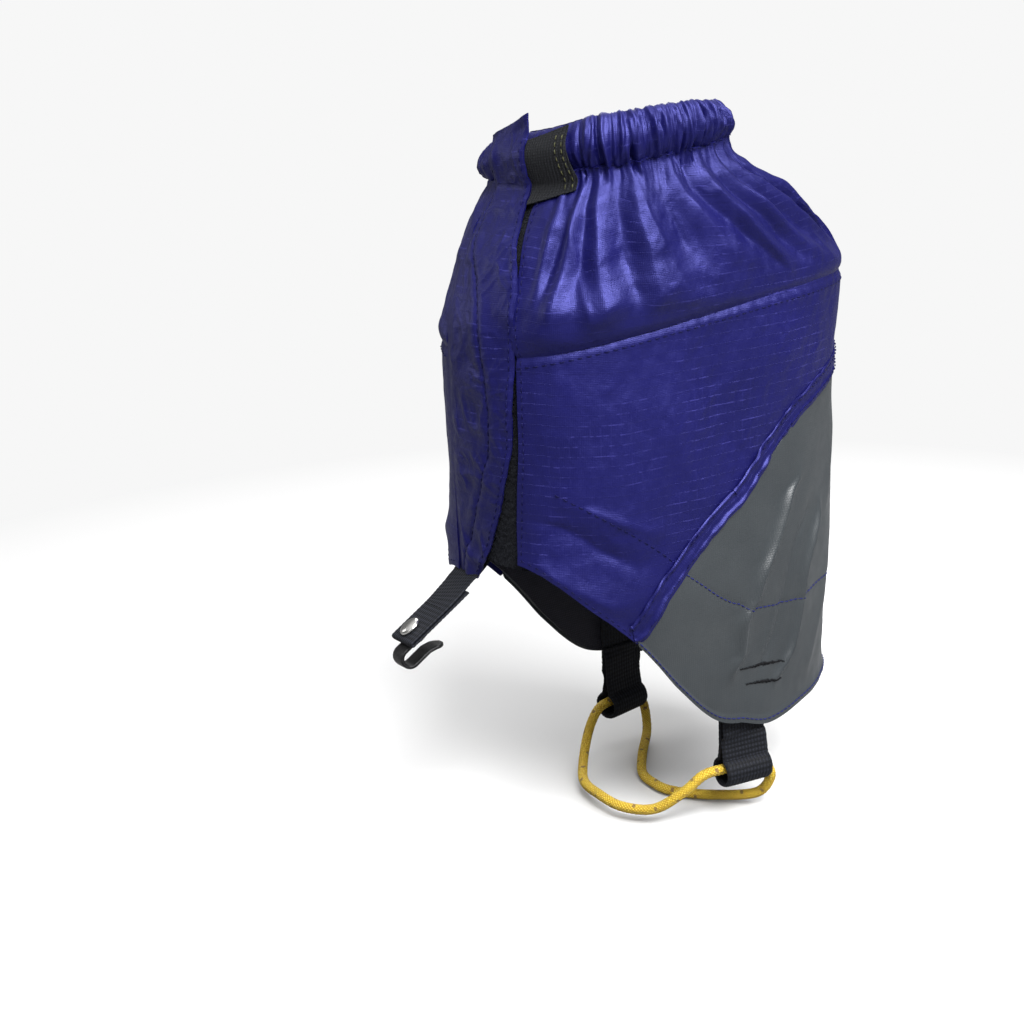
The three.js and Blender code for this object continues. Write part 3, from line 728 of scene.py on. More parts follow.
def crumple(girth, height, size, seed):
    """Creased cloth between about -0.4 and 0.6: flat facets that meet in narrow ridges and valleys."""
    lean = noise(girth / size / 2.5, height / size / 2.5, seed)
    first = np.abs(noise(girth / size + 0.35 * height / size, height / size / 1.5 + lean, seed + 1))
    second = np.abs(noise(girth / size - 0.6 * height / size, height / size + 0.5 * lean, seed + 2))
    return 0.6 - 1.3 * np.minimum(first, 0.7 * second + 0.25 * first)


def ridge_lines(angle, height, lines):
    """Raised or sunken creases, each a line of (height, angle) points with its half width and its rise."""
    turn = turn_from_front(angle)
    girth = girth_at(turn)
    total = np.zeros(np.broadcast(angle, height).shape)
    for points, half, rise in lines:
        low, high = points[0][0], points[-1][0]
        centre = girth_at(smooth_curve(points)(np.clip(height, low, high)))
        ends = ease(height, low - 6, low + 10) * (1 - ease(height, high - 10, high + 6))
        total = total + rise * np.exp(-np.abs((girth - centre) / half) ** 1.3) * ends
    return total


PATCH_CREASES = [
    ([(72, 89), (80, 90), (94, 91), (102, 94), (112, 97), (120, 100.5), (130, 104), (138, 107), (143, 111.5)],
     2.6, 2.8),
    ([(62, 102), (68, 106), (76, 110.5), (92, 114.5), (104, 116.5), (114, 120.5), (127, 126)], 2.3, 2.6),
    ([(66, 95), (76, 99), (90, 104), (100, 107), (116, 112), (130, 118)], 3.6, -1.2),
    ([(76, 97), (84, 99.5), (96, 102)], 2.0, 0.8),
    ([(120, 133), (140, 137), (160, 141)], 4.0, 0.9),
    ([(56, 122), (90, 136), (150, 150)], 5.0, 1.1),
]
LOWER_CREASES = [
    ([(112, 56), (122, 45), (132, 31), (138, 24)], 9.0, 2.4),
    ([(126, 64), (137, 52), (146, 40), (150, 30)], 7.0, -2.0),
    ([(138, 70), (146, 60), (152, 50), (156, 42)], 5.0, 1.2),
    ([(140, 84), (165, 78), (190, 74)], 5.0, 0.9),
    ([(150, 92), (172, 88), (196, 86)], 4.0, -0.7),
    ([(165, 116), (182, 108), (200, 104)], 6.0, 0.8),
]


def upper_lift(angle, height):
    girth, turn = girth_at(angle), turn_from_front(angle)
    above_seam = height - seam_at(angle)
    calm = calm_front(angle, height, 8)
    reach = 5.5 + 3.0 * noise(girth / 7, 0.5, 20)
    pucker = gathers(angle, height) * GATHER_DEPTH * bump(height, COLLAR_LOW, reach)
    uneven = 0.9 * noise(girth / 13, height / 15, 21) * bump(height, 243, 14)
    inner_side = np.clip(np.cos(np.radians(turn - 52) * 2) * (turn < 97), 0, 1)
    puff = 4.2 * bump(height, 223, 10) * inner_side * (angle < 180) + 0.7 * bump(above_seam, 5, 4)
    pinch = -1.0 * bump(above_seam, 0, 1.6) - 0.9 * bump(height, COLLAR_LOW, 2.2)
    fine = 0.18 * noise(girth / 3.5, height / 6, 41) * ease(above_seam, 0, 8)
    crease = 0.5 * noise(girth / 12 + height / 9, height / 7, 42) * bump(height, 218, 9)
    crease = crease * ease(above_seam, 1, 6)
    broken = 1.5 * crumple(girth, height, 17, 301) + 0.55 * crumple(girth, height, 8, 311)
    broken = broken * ease(above_seam, 1, 9) * (1 - ease(height, 256, 266)) * (0.35 + 0.65 * calm)
    folds = (pucker + (uneven + drape(angle, height)) * ease(above_seam, 1, 10)) * (0.2 + 0.8 * calm)
    stand = flap_rise(angle, height) - slack(angle, height)
    return 0.5 + folds + puff * (0.4 + 0.6 * calm) + pinch + fine + crease + broken + stand


def lower_lift(angle, height):
    girth = girth_at(angle)
    below_seam = seam_at(angle) - height
    broad = 1.1 * noise(girth / 34, height / 70, 51) * ease(below_seam, 0, 20)
    fine = 0.35 * noise(girth / 9, height / 22, 52) + 0.13 * noise(girth / 3.2, height / 5, 53)
    broken = 0.5 * crumple(girth, height, 24, 321) + 0.28 * crumple(girth, height, 9, 331)
    folds = broad + fine + ridge_lines(angle, height, LOWER_CREASES) + broken
    ridge = 0.12 * bump(below_seam, 2.6, 1.5)
    tuck = -0.6 * bump(below_seam, 0, 1.1) - 0.8 * ease(-below_seam, 0.2, 1.0)
    pull = 0.12 * np.sin(girth * 2 * math.pi / 6.3) * bump(below_seam, 3, 3)
    stand = flap_rise(angle, height) - slack(angle, height)
    return 0.5 + folds * (0.3 + 0.7 * calm_front(angle, height, 9)) + ridge + tuck + pull + stand


def patch_lift(angle, height):
    girth = girth_at(angle)
    turn = turn_from_front(angle)
    above_hem = height - hem_at(angle)
    upright = 0.6 * bump(turn, 136, 6) - 0.4 * bump(turn, 150, 7)
    broad = 0.7 * noise(girth / 38, height / 90, 61) + 0.1 * noise(girth / 4, height / 7, 62)
    flare = 0.9 * (1 - ease(above_hem, 0, 22)) * noise(girth / 22, 0.5, 63)
    facing = -0.3 * bump(height - facing_line(turn), 0, 1.0)
    creases = ridge_lines(angle, height, PATCH_CREASES)
    folds = (upright + creases) * ease(above_hem, 0, 18)
    return 0.5 + folds + broad + 0.45 * hem_double(above_hem) + flare + facing - slack(angle, height)


def hem_double(above_hem):
    """1 where the turned hem doubles the cloth."""
    return 1 - ease(above_hem, HEM_FOLD - 1.6, HEM_FOLD - 0.2)


def hem_turn(angle, height):
    """The doubled cloth of the lower panel's turned hem."""
    above_hem = height - hem_at(angle)
    return 0.4 * hem_double(above_hem) - 0.2 * bump(above_hem, HEM_FOLD - 1.8, 0.7)


# ---- Shell cloth -----------------------------------------------------------------------------


def cloth_uv(angle, points):
    """Weave coordinates: girth across, cloth length up each column."""
    rise = np.linalg.norm(np.diff(points, axis=1), axis=2)
    up = np.concatenate([np.zeros((len(points), 1)), np.cumsum(rise, axis=1)], axis=1)
    return weave_uv(girth_at(angle), up + points[:, :1, 2])


def upward(rows):
    """Shares from 0 at the foot of each column to 1 at its top."""
    return np.linspace(0, 1, rows)[None, :]


def even_angles(start, end, count):
    """Angles that split the girth evenly."""
    return angle_of_girth(np.linspace(girth_at(start), girth_at(end), count))


def shell_columns(count, height, past_slit=0):
    """Angle grid from the slit's edge, round the back, to the flap's root."""
    share = np.linspace(0, 1, count)[:, None]
    start = girth_at(angle_at(slit_edge(height) - past_slit, height))
    end = girth_at(360 + angle_at(HINGE_X, height))
    return angle_of_girth(start + (end - start) * share)


def cloth_piece(name, angle, height, lift, thick, material, node):
    points = leg_point(angle, height, lift)
    piece = sheet(name, points, thick, cloth_uv(angle, points))
    return dress(piece, material, "shell", [node])


def upper_panel():
    share = upward(64)
    angle = shell_columns(560, SEAM_HEIGHT + (COLLAR_LOW - SEAM_HEIGHT) * share)
    height = seam_at(angle) + (COLLAR_LOW + 0.8 - seam_at(angle)) * share
    lift = upper_lift(angle, height)
    cloth_piece("gathered_upper_cloth", angle, height, lift, CLOTH, "ripstop", "upper_panel")


def lower_low(angle):
    return np.where(turn_from_front(angle) > PATCH_START, patch_at(angle), hem_at(angle))


def lower_panel():
    share = upward(100)
    foot = 125
    angle = shell_columns(520, foot + (SEAM_HEIGHT - foot) * share)
    low = lower_low(angle)
    height = low + (seam_at(angle) + SEAM_OVERLAP - low) * share
    hem = np.where(turn_from_front(angle) < PATCH_START, hem_turn(angle, height), 0)
    lift = lower_lift(angle, height) + hem
    cloth_piece("lower_cloth", angle, height, lift, CLOTH, "ripstop", "lower_panel")


def heel_patch():
    share = upward(120)
    start = PATCH_START + 0.6
    angle = even_angles(start, 360 - start, 380)[:, None] + 0 * share
    height = hem_at(angle) + (patch_at(angle) + PATCH_OVERLAP - hem_at(angle)) * share
    behind = 0.9 * ease(height - patch_at(angle), 0, 1.2)
    lift = patch_lift(angle, height) - behind
    cloth_piece("coated_heel_patch", angle, height, lift, CLOTH, "coated_cloth", "heel_patch")


def patch_line(girth):
    """The heel patch's upper edge as (girth, height) points, and the direction up across it."""
    line = np.stack([girth, patch_at(angle_of_girth(girth))], -1)
    along = unit(np.gradient(line, axis=0))
    return line, np.stack([-along[:, 1], along[:, 0]], -1)


def patch_seam():
    """The felled seam: a doubled strip of blue cloth along the heel patch's upper edge."""
    width, columns, rows = 7.2, 560, 28
    girth = np.linspace(girth_at(PATCH_START - 0.5), girth_at(360.5 - PATCH_START), columns)
    line, up = patch_line(girth)
    share = np.linspace(-0.12, 1, rows)
    place = line[:, None, :] + up[:, None, :] * (share * width)[None, :, None]
    angle = angle_of_girth(place[..., 0])
    height = np.maximum(place[..., 1], hem_at(angle) + 0.2)
    inner = np.clip(share, 0, 1)
    girth = girth[:, None]
    low_edge, high_edge = bump(inner, 0.1, 0.11), bump(inner, 0.9, 0.12)
    round_edge = 0.3 * np.sin(np.pi * inner) ** 0.3 + 0.75 * low_edge + 0.7 * high_edge
    pull = 0.8 * noise(girth / 2.8, 0.5, 71) * low_edge + 1.0 * noise(girth / 3.4, 0.5, 72) * high_edge
    pull = pull + 0.35 * noise(girth / 2.6, inner * 3, 73)
    calm = 1 - 0.6 * ease(turn_from_front(angle), 92, 108)
    points = leg_point(angle, height, lower_lift(angle, height) + 0.15 + (round_edge + pull) * calm)
    piece = sheet("patch_felled_seam", points, 0.4, weave_uv(girth, share * width))
    dress(piece, "ripstop", "shell")


def hem_facing():
    share = upward(16)
    angle = even_angles(40, 320, 260)[:, None] + 0 * share
    height = hem_at(angle) + 1.2 + 45 * share
    uneven = 0.12 * noise(girth_at(angle) / 6, height / 9, 81)
    lift = -1.9 - slack(angle, height) + uneven
    cloth_piece("inner_hem_facing", angle, height, lift, CLOTH, "lining", "hem_facing")


# ---- Collar ----------------------------------------------------------------------------------

# The casing's section, as (offset, height above the stitch line, share of the gathers' depth).
CASING_SECTION = [
    (-1.0, 0.3, 0.9), (-0.3, 1.3, 1.2), (0.3, 4.0, 1.2), (0.5, 8.0, 1.0),
    (0.3, 12.5, 0.9), (-0.4, 15.2, 0.8), (-1.9, 16.4, 0.7), (-3.5, 15.4, 0.7),
    (-4.3, 12.0, 0.7), (-4.4, 7.0, 0.7), (-3.9, 2.8, 0.6), (-2.5, 0.8, 0.5),
]


def closed_spline(points, steps):
    """A closed Catmull-Rom curve through the points."""
    points = np.asarray(points, float)
    a, b, c, d = (np.roll(points, shift, 0)[:, None] for shift in (1, 0, -1, -2))
    t = (np.arange(steps) / steps)[None, :, None]
    bend, twist = 2 * a - 5 * b + 4 * c - d, 3 * b - a - 3 * c + d
    return (0.5 * (2 * b + (c - a) * t + bend * t ** 2 + twist * t ** 3)).reshape(-1, points.shape[1])


def collar_casing():
    offset, rise, depth = closed_spline(CASING_SECTION, 5).T
    outward = unit(np.stack([np.gradient(rise), -np.gradient(offset)], -1))
    height = COLLAR_LOW + rise
    angle = shell_columns(640, height[None, :], past_slit=8)
    girth = girth_at(angle)
    height = height + 0.9 * noise(girth / 3.2, 0.5, 93) * (1 - ease(rise, 0, 7))
    inside = offset < -2
    pucker = np.where(inside, -gathers(angle, 2 * COLLAR_LOW - height), gathers(angle, height))
    away = calm_front(angle, height, 4, 14)
    side_share = 0.7 + 0.3 * np.cos(np.radians(angle - 60))
    push = pucker * GATHER_DEPTH * depth * (0.15 + 0.85 * away) * side_share
    creased = 0.4 * noise(girth / 4, height / 9, 92) + 1.3 * crumple(girth, height / 3.2, 2.4, 351)
    push = push + creased * (0.25 + 0.75 * away)
    sunk = np.where(inside, 0, -0.9 * (1 - away) * (leg_base(angle, height)[..., 0] > 0))
    rise_share = np.where(inside, 0.3, 1.0)
    lift = offset + outward[:, 0] * push + sunk - collar_tuck(signed_turn(angle))
    lift = lift + rise_share * flap_rise(angle, height)
    points = leg_point(angle, height + outward[:, 1] * push * 0.35, lift)
    uv = weave_uv(girth, travel(np.stack([offset, rise], -1)) + 260)
    piece = tube("gathered_collar", points[::-1], uv[::-1].reshape(-1, 2))
    dress(piece, "ripstop", "shell", ["collar_casing"])


def collar_elastic():
    share = upward(10)
    angle = even_angles(14, 344, 200)[:, None] + 0 * share
    height = COLLAR_LOW + 4 + 11 * share
    lift = -1.9 - collar_tuck(signed_turn(angle)) + 0.1 * np.sin(girth_at(angle) * 2.2)
    cloth_piece("flat_elastic", angle, height, lift, 1.0, "elastic", "collar_elastic")


# ---- Closure ---------------------------------------------------------------------------------


def front_grid(left, right, low, high, columns, rows):
    """Angles, heights and x of a strip down the front between two x positions."""
    share = np.linspace(0, 1, columns)[:, None]
    height = low(share) + (high(share) - low(share)) * upward(rows)
    x = left(height) + (right(height) - left(height)) * share
    return angle_at(x, height), height, x


def always(value):
    return lambda position: value + 0 * np.asarray(position, float)


TAPE_WIDTH = 22
PATCH_LEFT, PATCH_RIGHT = -6, 28


def loop_tape():
    right = lambda height: slit_edge(height) + 3.5
    left = lambda height: right(height) - TAPE_WIDTH
    columns = 60
    angle, height, x = front_grid(left, right, always(130), always(COLLAR_LOW - 3), columns, 300)
    fuzz = 0.28 * noise(x / 0.55, height / 0.55, 101) + 0.2 * noise(x / 1.3, height / 1.3, 102)
    share = np.linspace(0, 1, columns)[:, None]
    edge = ease(share, 0, 0.03) * (1 - ease(share, 0.97, 1))
    piece = sheet("loop_pile_tape", leg_point(angle, height, -0.75 + fuzz * edge), 0.8, weave_uv(x, height))
    dress(piece, "loop_pile", "shell", ["loop_tape"])


def bridge(height):
    """How far the stiff front layers stand off the collar's pinched stitch line."""
    return 1.5 * bump(height, COLLAR_LOW, 6)


def tape_patch_edge(height):
    return PATCH_RIGHT + 1.2 - 0.14 * (height - 262)


def tape_patch_lift(x, height):
    belly = 0.14 * bump(height, 275, 7)
    foot = 0.7 * (1 - ease(height, 255, 264))
    edge = 0.2 * ease(x, PATCH_RIGHT - 3, PATCH_RIGHT)
    return 1.1 + bridge(height) + belly + foot + 0.12 * noise(x / 7, height / 7, 111) - edge


def collar_tape_patch():
    low = lambda share: 255.2 + 6.8 * share
    high = lambda share: 278.5 + 4.7 * share
    angle, height, x = front_grid(always(PATCH_LEFT), tape_patch_edge, low, high, 150, 90)
    ribs = 0.07 * np.cos(x * 2 * math.pi / TAPE_RIB) + 0.03 * noise(x / 0.5, height / 0.6, 112)
    points = leg_point(angle, height, tape_patch_lift(x, height) + ribs)
    piece = sheet("woven_tape_patch", points, 0.5, weave_uv(x, height))
    dress(piece, "closure_tape", "shell", ["collar_tape_patch"])


def flap_lift(x, height):
    calm = ease(x, HINGE_X, HINGE_X + 6)
    past_stitch = x - flap_stitch(height)
    groove = -0.55 * bump(past_stitch, 0, 0.8) * ease(x, HINGE_X, HINGE_X + 4)
    crest = 0.35 * bump(past_stitch, 3.2, 2.2) + 0.25 * bump(past_stitch, -3.0, 2.2) * calm
    edge_roll = -0.35 * (1 - ease(flap_edge(height) - x, 0, 1.6))
    creases = 0.55 * noise(x / 9 + height / 30, height / 11, 121) * bump(height, 232, 24)
    sharp = 0.5 * (np.abs(noise(x / 6 - height / 14, height / 6, 124)) - 0.25) * bump(height, 243, 11)
    broken = 1.2 * crumple(x, height, 12, 341) + 0.6 * crumple(x, height, 5.5, 345)
    fine = 0.13 * noise(x / 3.2, height / 5, 122) + 0.3 * noise(x / 14, height / 26, 123)
    relief = (creases + sharp + broken + fine) * calm
    return flap_height(height) + bridge(height) * calm + groove + crest + edge_roll + relief


def blend_between(piece):
    """Bakes the piece's placement into its mesh."""
    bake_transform(piece)


def blend_at_bend(piece):
    blend_between(piece)


def flaps():
    foot, split = always(121.5), always(FLAP_SPLIT)
    tip = lambda share: COLLAR_HIGH + 0.8 + 4.2 * share ** 2
    made = {}
    for part, low, high in (("lower", foot, split), ("upper", split, tip)):
        angle, height, x = front_grid(always(HINGE_X), flap_edge, low, high, 80, 170)
        points = leg_point(angle, height, flap_lift(x, height))
        name = {"lower": "flap_below_seam", "upper": "flap_above_seam"}[part]
        made[part] = sheet(name, points, 0.7, weave_uv(girth_at(angle), height))
        dress(made[part], "ripstop", replaces=[f"front_flap_{part}"])
    blend_between(made["lower"])
    blend_at_bend(made["upper"])


def hook_tapes():
    right = lambda height: flap_edge(height) - 1.2
    left = lambda height: np.maximum(right(height) - TAPE_WIDTH, HINGE_X + 3)
    spans = {"lower": (134, FLAP_SPLIT), "upper": (FLAP_SPLIT, COLLAR_HIGH - 2)}
    for part, (low, high) in spans.items():
        angle, height, x = front_grid(left, right, always(low), always(high), 40, 160)
        points = leg_point(angle, height, flap_lift(x, height) - 0.78)
        piece = sheet(f"hook_field_{part}", points, 0.35, weave_uv(x, height))
        dress(piece, "hook_field", replaces=[f"hook_tape_{part}"])
        if part == "lower":
            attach(piece, "flap_lower")
        else:
            blend_at_bend(piece)


# ---- Stitching -------------------------------------------------------------------------------

THREAD_RADIUS, THREAD_SIDES = 0.24, 6
THREAD_TURNS = np.linspace(0, 2 * math.pi, THREAD_SIDES, endpoint=False)
STITCH_RING = np.stack([np.cos(THREAD_TURNS), np.sin(THREAD_TURNS)], -1)
STITCH_SWELL = [0.25, 0.9, 1.0, 0.9, 0.25]
BLUE_STITCH = {"thread": "blue_thread", "pitch": 3.1, "length": 2.3, "slot": "ripstop"}
PATCH_STITCH = {"thread": "seam_thread", "pitch": 2.5, "length": 2.25, "slot": "coated_cloth"}
TAPE_STITCH = {"thread": "grey_thread", "pitch": 2.4, "length": 1.8, "slot": "closure_tape"}
COLLAR_STITCH = {"thread": "blue_thread", "pitch": 2.6, "length": 1.9, "slot": "ripstop"}


def stitches(name, path, normals, pitch, length):
    """Separate stitches along a path, each a short arched thread whose ends dip into the cloth."""
    reach = travel(path)
    sample = lambda values, at: np.stack([np.interp(at, reach, values[:, k]) for k in range(3)], -1)
    points, faces = [], []
    sides, rings = THREAD_SIDES, len(STITCH_SWELL)
    for first in np.arange(0, reach[-1] - length, pitch):
        places = first + np.linspace(0, length, rings)
        centre, normal = sample(path, places), sample(normals, places)
        side = np.cross(unit(centre[-1] - centre[0]), normal)
        start = len(points)
        for ring, swell in enumerate(STITCH_SWELL):
            arch = THREAD_RADIUS * (1.1 * math.sin(math.pi * ring / (rings - 1)) - 0.6)
            middle = centre[ring] + normal[ring] * arch
            for across, out in STITCH_RING * THREAD_RADIUS * swell:
                points.append(middle + side[ring] * across + normal[ring] * out)
        for ring in range(rings - 1):
            for k in range(sides):
                a, b = start + ring * sides + k, start + ring * sides + (k + 1) % sides
                faces.append([a, a + sides, b + sides, b])
        faces.append([start + k for k in range(sides)])
        faces.append([start + (rings - 1) * sides + k for k in range(sides)][::-1])
    return mesh_object(name, points, faces)


def stitch_row(name, angle, height, lift, style=BLUE_STITCH, body="shell"):
    path = leg_point(angle, height, lift)
    piece = stitches(name, path, leg_normal(angle, height), style["pitch"], style["length"])
    return dress(piece, style["thread"], body)


def hem_stitching(name, angle, lift_of, above, style=BLUE_STITCH):
    hem = hem_at(angle) + HEM_STITCH
    stitch_row(name, angle, hem, lift_of(angle, hem) + above, style)


def facing_stitching(name, angle, seen, lift_of, above, style=BLUE_STITCH):
    """The stitch line of the hem's facing, where seen says that it runs on this panel."""
    arc = facing_line(turn_from_front(angle))
    keep = seen(arc)
    stitch_row(name, angle[keep], arc[keep], lift_of(angle, arc)[keep] + above, style)


def shell_stitching():
    root = 360 + angle_at(HINGE_X - 1.0, 150.0)
    front = even_angles(angle_at(slit_edge(131) + 1, 131), PATCH_START, 300)
    back = even_angles(PATCH_START + 1, 359 - PATCH_START, 700)
    hem_stitching("hem_stitch_front", front, lower_lift, 0.15)
    hem_stitching("hem_stitch_outer", even_angles(360 - PATCH_START, root, 300), lower_lift, 0.15)
    hem_stitching("hem_stitch_back", back, patch_lift, 0.12, PATCH_STITCH)
    on_patch = lambda arc: arc < patch_at(back) - 1
    facing_stitching("facing_stitch", back, on_patch, patch_lift, 0.12, PATCH_STITCH)
    for side, (low, high) in {"inner": (36, 84), "outer": (276, 324)}.items():
        angle = even_angles(low, high, 240)
        on_blue = lambda arc: arc > lower_low(angle) + 7
        facing_stitching(f"facing_stitch_{side}", angle, on_blue, lower_lift, 0.03)
    around = even_angles(angle_at(slit_edge(205), 205), root, 1500)
    row = seam_at(around) - 3.0
    stitch_row("middle_seam_stitch", around, row, lower_lift(around, row) + 0.03)
    slit = np.linspace(133, 262, 500)
    angle = angle_at(slit_edge(slit) + 1.6, slit)
    lift = np.where(slit < seam_at(angle), lower_lift(angle, slit), upper_lift(angle, slit))
    stitch_row("slit_edge_stitch", angle, slit, lift + 0.03)


def patch_seam_stitching():
    line, up = patch_line(np.linspace(girth_at(PATCH_START + 1), girth_at(359 - PATCH_START), 900))
    for row, distance in (("lower", 1.0), ("upper", 5.9)):
        place = line + up * distance
        angle, height = angle_of_girth(place[:, 0]), place[:, 1]
        stitch_row(f"patch_seam_stitch_{row}", angle, height, lower_lift(angle, height) + 0.7)


def collar_stitching():
    around = even_angles(30, 345, 1600)
    height = COLLAR_LOW + 0 * around
    stitch_row("collar_stitch", around, height + 0.6, upper_lift(around, height) + 0.2, COLLAR_STITCH)
    height = np.linspace(262.4, 282, 200)
    for row, inset in (("inside", 3.4), ("outside", 1.2)):
        x = tape_patch_edge(height) - inset
        lift = tape_patch_lift(x, height) + 0.12
        stitch_row(f"tape_patch_stitch_{row}", angle_at(x, height), height, lift, TAPE_STITCH)


def flap_stitching():
    for part, body, low, high in (("lower", "flap_lower", 124, FLAP_SPLIT - 0.5),
                                  ("upper", None, FLAP_SPLIT + 0.5, 284)):
        for row in ("fold", "edge"):
            height = np.linspace(low, high, 400)
            x = flap_stitch(height) if row == "fold" else flap_edge(height) - 1.7
            keep = x > HINGE_X + 1.5
            height, x = height[keep], x[keep]
            lift = flap_lift(x, height) + 0.03
            piece = stitch_row(f"flap_{row}_stitch_{part}", angle_at(x, height), height, lift, body=body)
            if body is None:
                blend_at_bend(piece)


def bar_tacks():
    """Short dense rows of zigzag thread, thicker in the middle and dropping towards the heel."""
    points = 60
    share = np.linspace(0, 1, points)
    zigzag = np.where(np.arange(points) % 2 == 0, 1, -1) * (0.12 + 0.55 * np.sin(np.pi * share) ** 2)
    for side, sign in (("medial", 1), ("lateral", -1)):
        for row, start, span, first in (("upper", 90, 15.5, 73.5), ("lower", 91.5, 13.5, 66)):
            rng = np.random.default_rng(int(first) + sign)
            turn = start + span * share
            height = first - 3.9 * share + zigzag + rng.normal(0, 0.13, points)
            angle = turn if sign > 0 else 360 - turn
            path = resample(leg_point(angle, height, patch_lift(angle, height) + 0.2), 0.45)
            wide, out = THREAD_RADIUS * STITCH_RING.T[:, None, :]
            piece = tube(f"bar_tack_{side}_{row}", rings_along(path, *frames_along(path), wide, out))
            dress(piece, "black_thread", "shell", [f"bartack_{side}_{row}"])


# ---- Webbing, cord and metal -----------------------------------------------------------------


WEB_STEP, WEB_POINTS = 0.26, 34
WEB_THICK = 1.3


def webbing_band(name, path, across, width, thick):
    """A woven strap along a path: ribs cross it, and its edges are rounded. across holds its width's
    direction, evenly spread along the path."""
    path = resample(path, WEB_STEP)
    at, given = np.linspace(0, 1, len(path)), np.linspace(0, 1, len(across))
    across = np.stack([np.interp(at, given, across[:, k]) for k in range(3)], -1)
    side, lift = frames_along(path, across)
    travelled = (np.arange(len(path)) * WEB_STEP)[:, None]
    face = np.linspace(-1, 1, WEB_POINTS)
    face = np.concatenate([face, face[::-1]])
    place = face * width / 2
    inset = np.sqrt(np.clip(1 - np.abs(face) ** 14, 0.12, 1))
    facing = np.repeat([1.0, -1.0], WEB_POINTS)
    ribs = 0.2 * np.abs(np.sin(np.pi * travelled / WEB_RIB)) ** 0.7
    ribs = ribs * (0.75 + 0.25 * np.cos(place * 2 * math.pi / WEB_YARN))
    frayed = 0.1 * noise(travelled / 0.5, place * 4, 131) * (np.abs(place) > width * 0.49)
    wide, deep = place + np.sign(place) * frayed, facing * (thick / 2 + ribs) * inset
    rings = rings_along(path, side, lift, wide, deep)
    return tube(name, rings[:, ::-1], weave_uv(place, travelled)[:, ::-1].reshape(-1, 2))


LOOP_X, LOOP_Y, LOOP_TURN, LOOP_WIDTH = 40.0, 17.2, 9.0, 20.5
TUNNEL_HEIGHT, TUNNEL_RADIUS = 27.2, 4.8


def loop_path():
    """The strap's middle as (out, height), and how far it has turned from the tail to the loop."""
    middle = TUNNEL_RADIUS + WEB_THICK / 2
    down = [(0.0, z, 0.0) for z in np.linspace(75, 46, 24)] + [(WEB_THICK / 2 + 0.2, 38, 0.7)]
    round_cord = [(middle * math.cos(a), TUNNEL_HEIGHT + middle * math.sin(a), 1.0)
                  for a in np.radians(np.linspace(68, -248, 40))]
    up = [(-WEB_THICK / 2 - 0.35, z, turn) for z, turn in ((38, 0.8), (42, 0.3), (46, 0.0), (54, 0.0))]
    return np.array(down + round_cord + up).T


def side_loops():
    out, height, turn = loop_path()
    for side, sign in (("medial", 1), ("lateral", -1)):
        swing = np.radians(-sign * LOOP_TURN * turn)
        ahead = np.stack([-np.sin(swing), np.cos(swing), 0 * swing], -1) * sign
        outward = np.stack([np.cos(swing), np.sin(swing), 0 * swing], -1) * sign
        centre_x = TAIL_CENTRE[0] + (LOOP_X - TAIL_CENTRE[0]) * turn
        points = np.stack([sign * centre_x, 0 * turn + LOOP_Y, height], -1) + outward * out[:, None]
        piece = webbing_band(f"stirrup_webbing_{side}", points, ahead, LOOP_WIDTH, WEB_THICK)
        dress(piece, "webbing", replaces=[f"side_loop_{side}", f"side_loop_tail_{side}"])
        blend_between(piece)


CORD_HALF = [
    (0, -25, 11.5), (13, -23, 11), (24.5, -15.5, 12.5), (32.5, -7, 20.5), (36, 0, 27),
    (38.5, 7, 28.5), (41, 21, 28), (42, 27.5, 25.5), (41.5, 30.5, 19), (36, 27.5, 10.5), (23, 15, 8),
    (10, 5, 7.5), (0, 3, 7.5),
]
CORD_RADIUS, CORD_STEP, CORD_SIDES, BRAID_PITCH = 2.1, 0.42, 28, 7.6


def instep_cord():
    mirrored = [(-x, y, z) for x, y, z in CORD_HALF[-2:0:-1]]
    path = resample(closed_spline(CORD_HALF + mirrored, 24), CORD_STEP)
    wrapped = np.concatenate([path[-3:], path, path[:3]])
    side, lift = (values[3:-3] for values in frames_along(wrapped))
    turn = np.linspace(0, 2 * math.pi, CORD_SIDES, endpoint=False)
    travelled = np.arange(len(path))[:, None] * CORD_STEP
    strand = 2 * math.pi * travelled / BRAID_PITCH
    crossing = np.cos(4 * (turn + strand)), np.cos(4 * (turn - strand))
    radius = CORD_RADIUS - 0.22 + 0.2 * np.maximum(*crossing)
    rings = rings_along(path, side, lift, radius * np.cos(turn), radius * np.sin(turn))
    uv = weave_uv(turn * CORD_RADIUS, travelled)
    piece = tube("braided_instep_cord", rings, uv.reshape(-1, 2), closed=True)
    dress(piece, "cord", replaces=["instep_cord"])
    blend_between(piece)


# The lace tab's own axes, the middle of its strap's root and its rivet, in the leg's frame.
LACE_NORMAL = np.array(JOINTS["hook_swivel"]["axis"], float)
LACE_ACROSS = np.array(JOINTS["lace_tab_swing"]["axis"], float)
LACE_ALONG = np.cross(LACE_ACROSS, LACE_NORMAL)
LACE_ROOT = np.array(JOINTS["lace_tab_swing"]["pos_m"], float) * 1000 - SHIFT
RIVET = np.array(JOINTS["hook_swivel"]["pos_m"], float) * 1000 - SHIFT
LACE_WIDTH, LACE_LAYER, LACE_THICK = 19, 1.0, 2.4    # the strap is folded, so two layers make it thick
LACE_SHIFT = np.array([-3.6, 1.9, 0])                # how far the root leans from the joint
LACE_BEHIND = np.array([0.0, 4.2, 9.5])              # where the strap starts, behind the flap


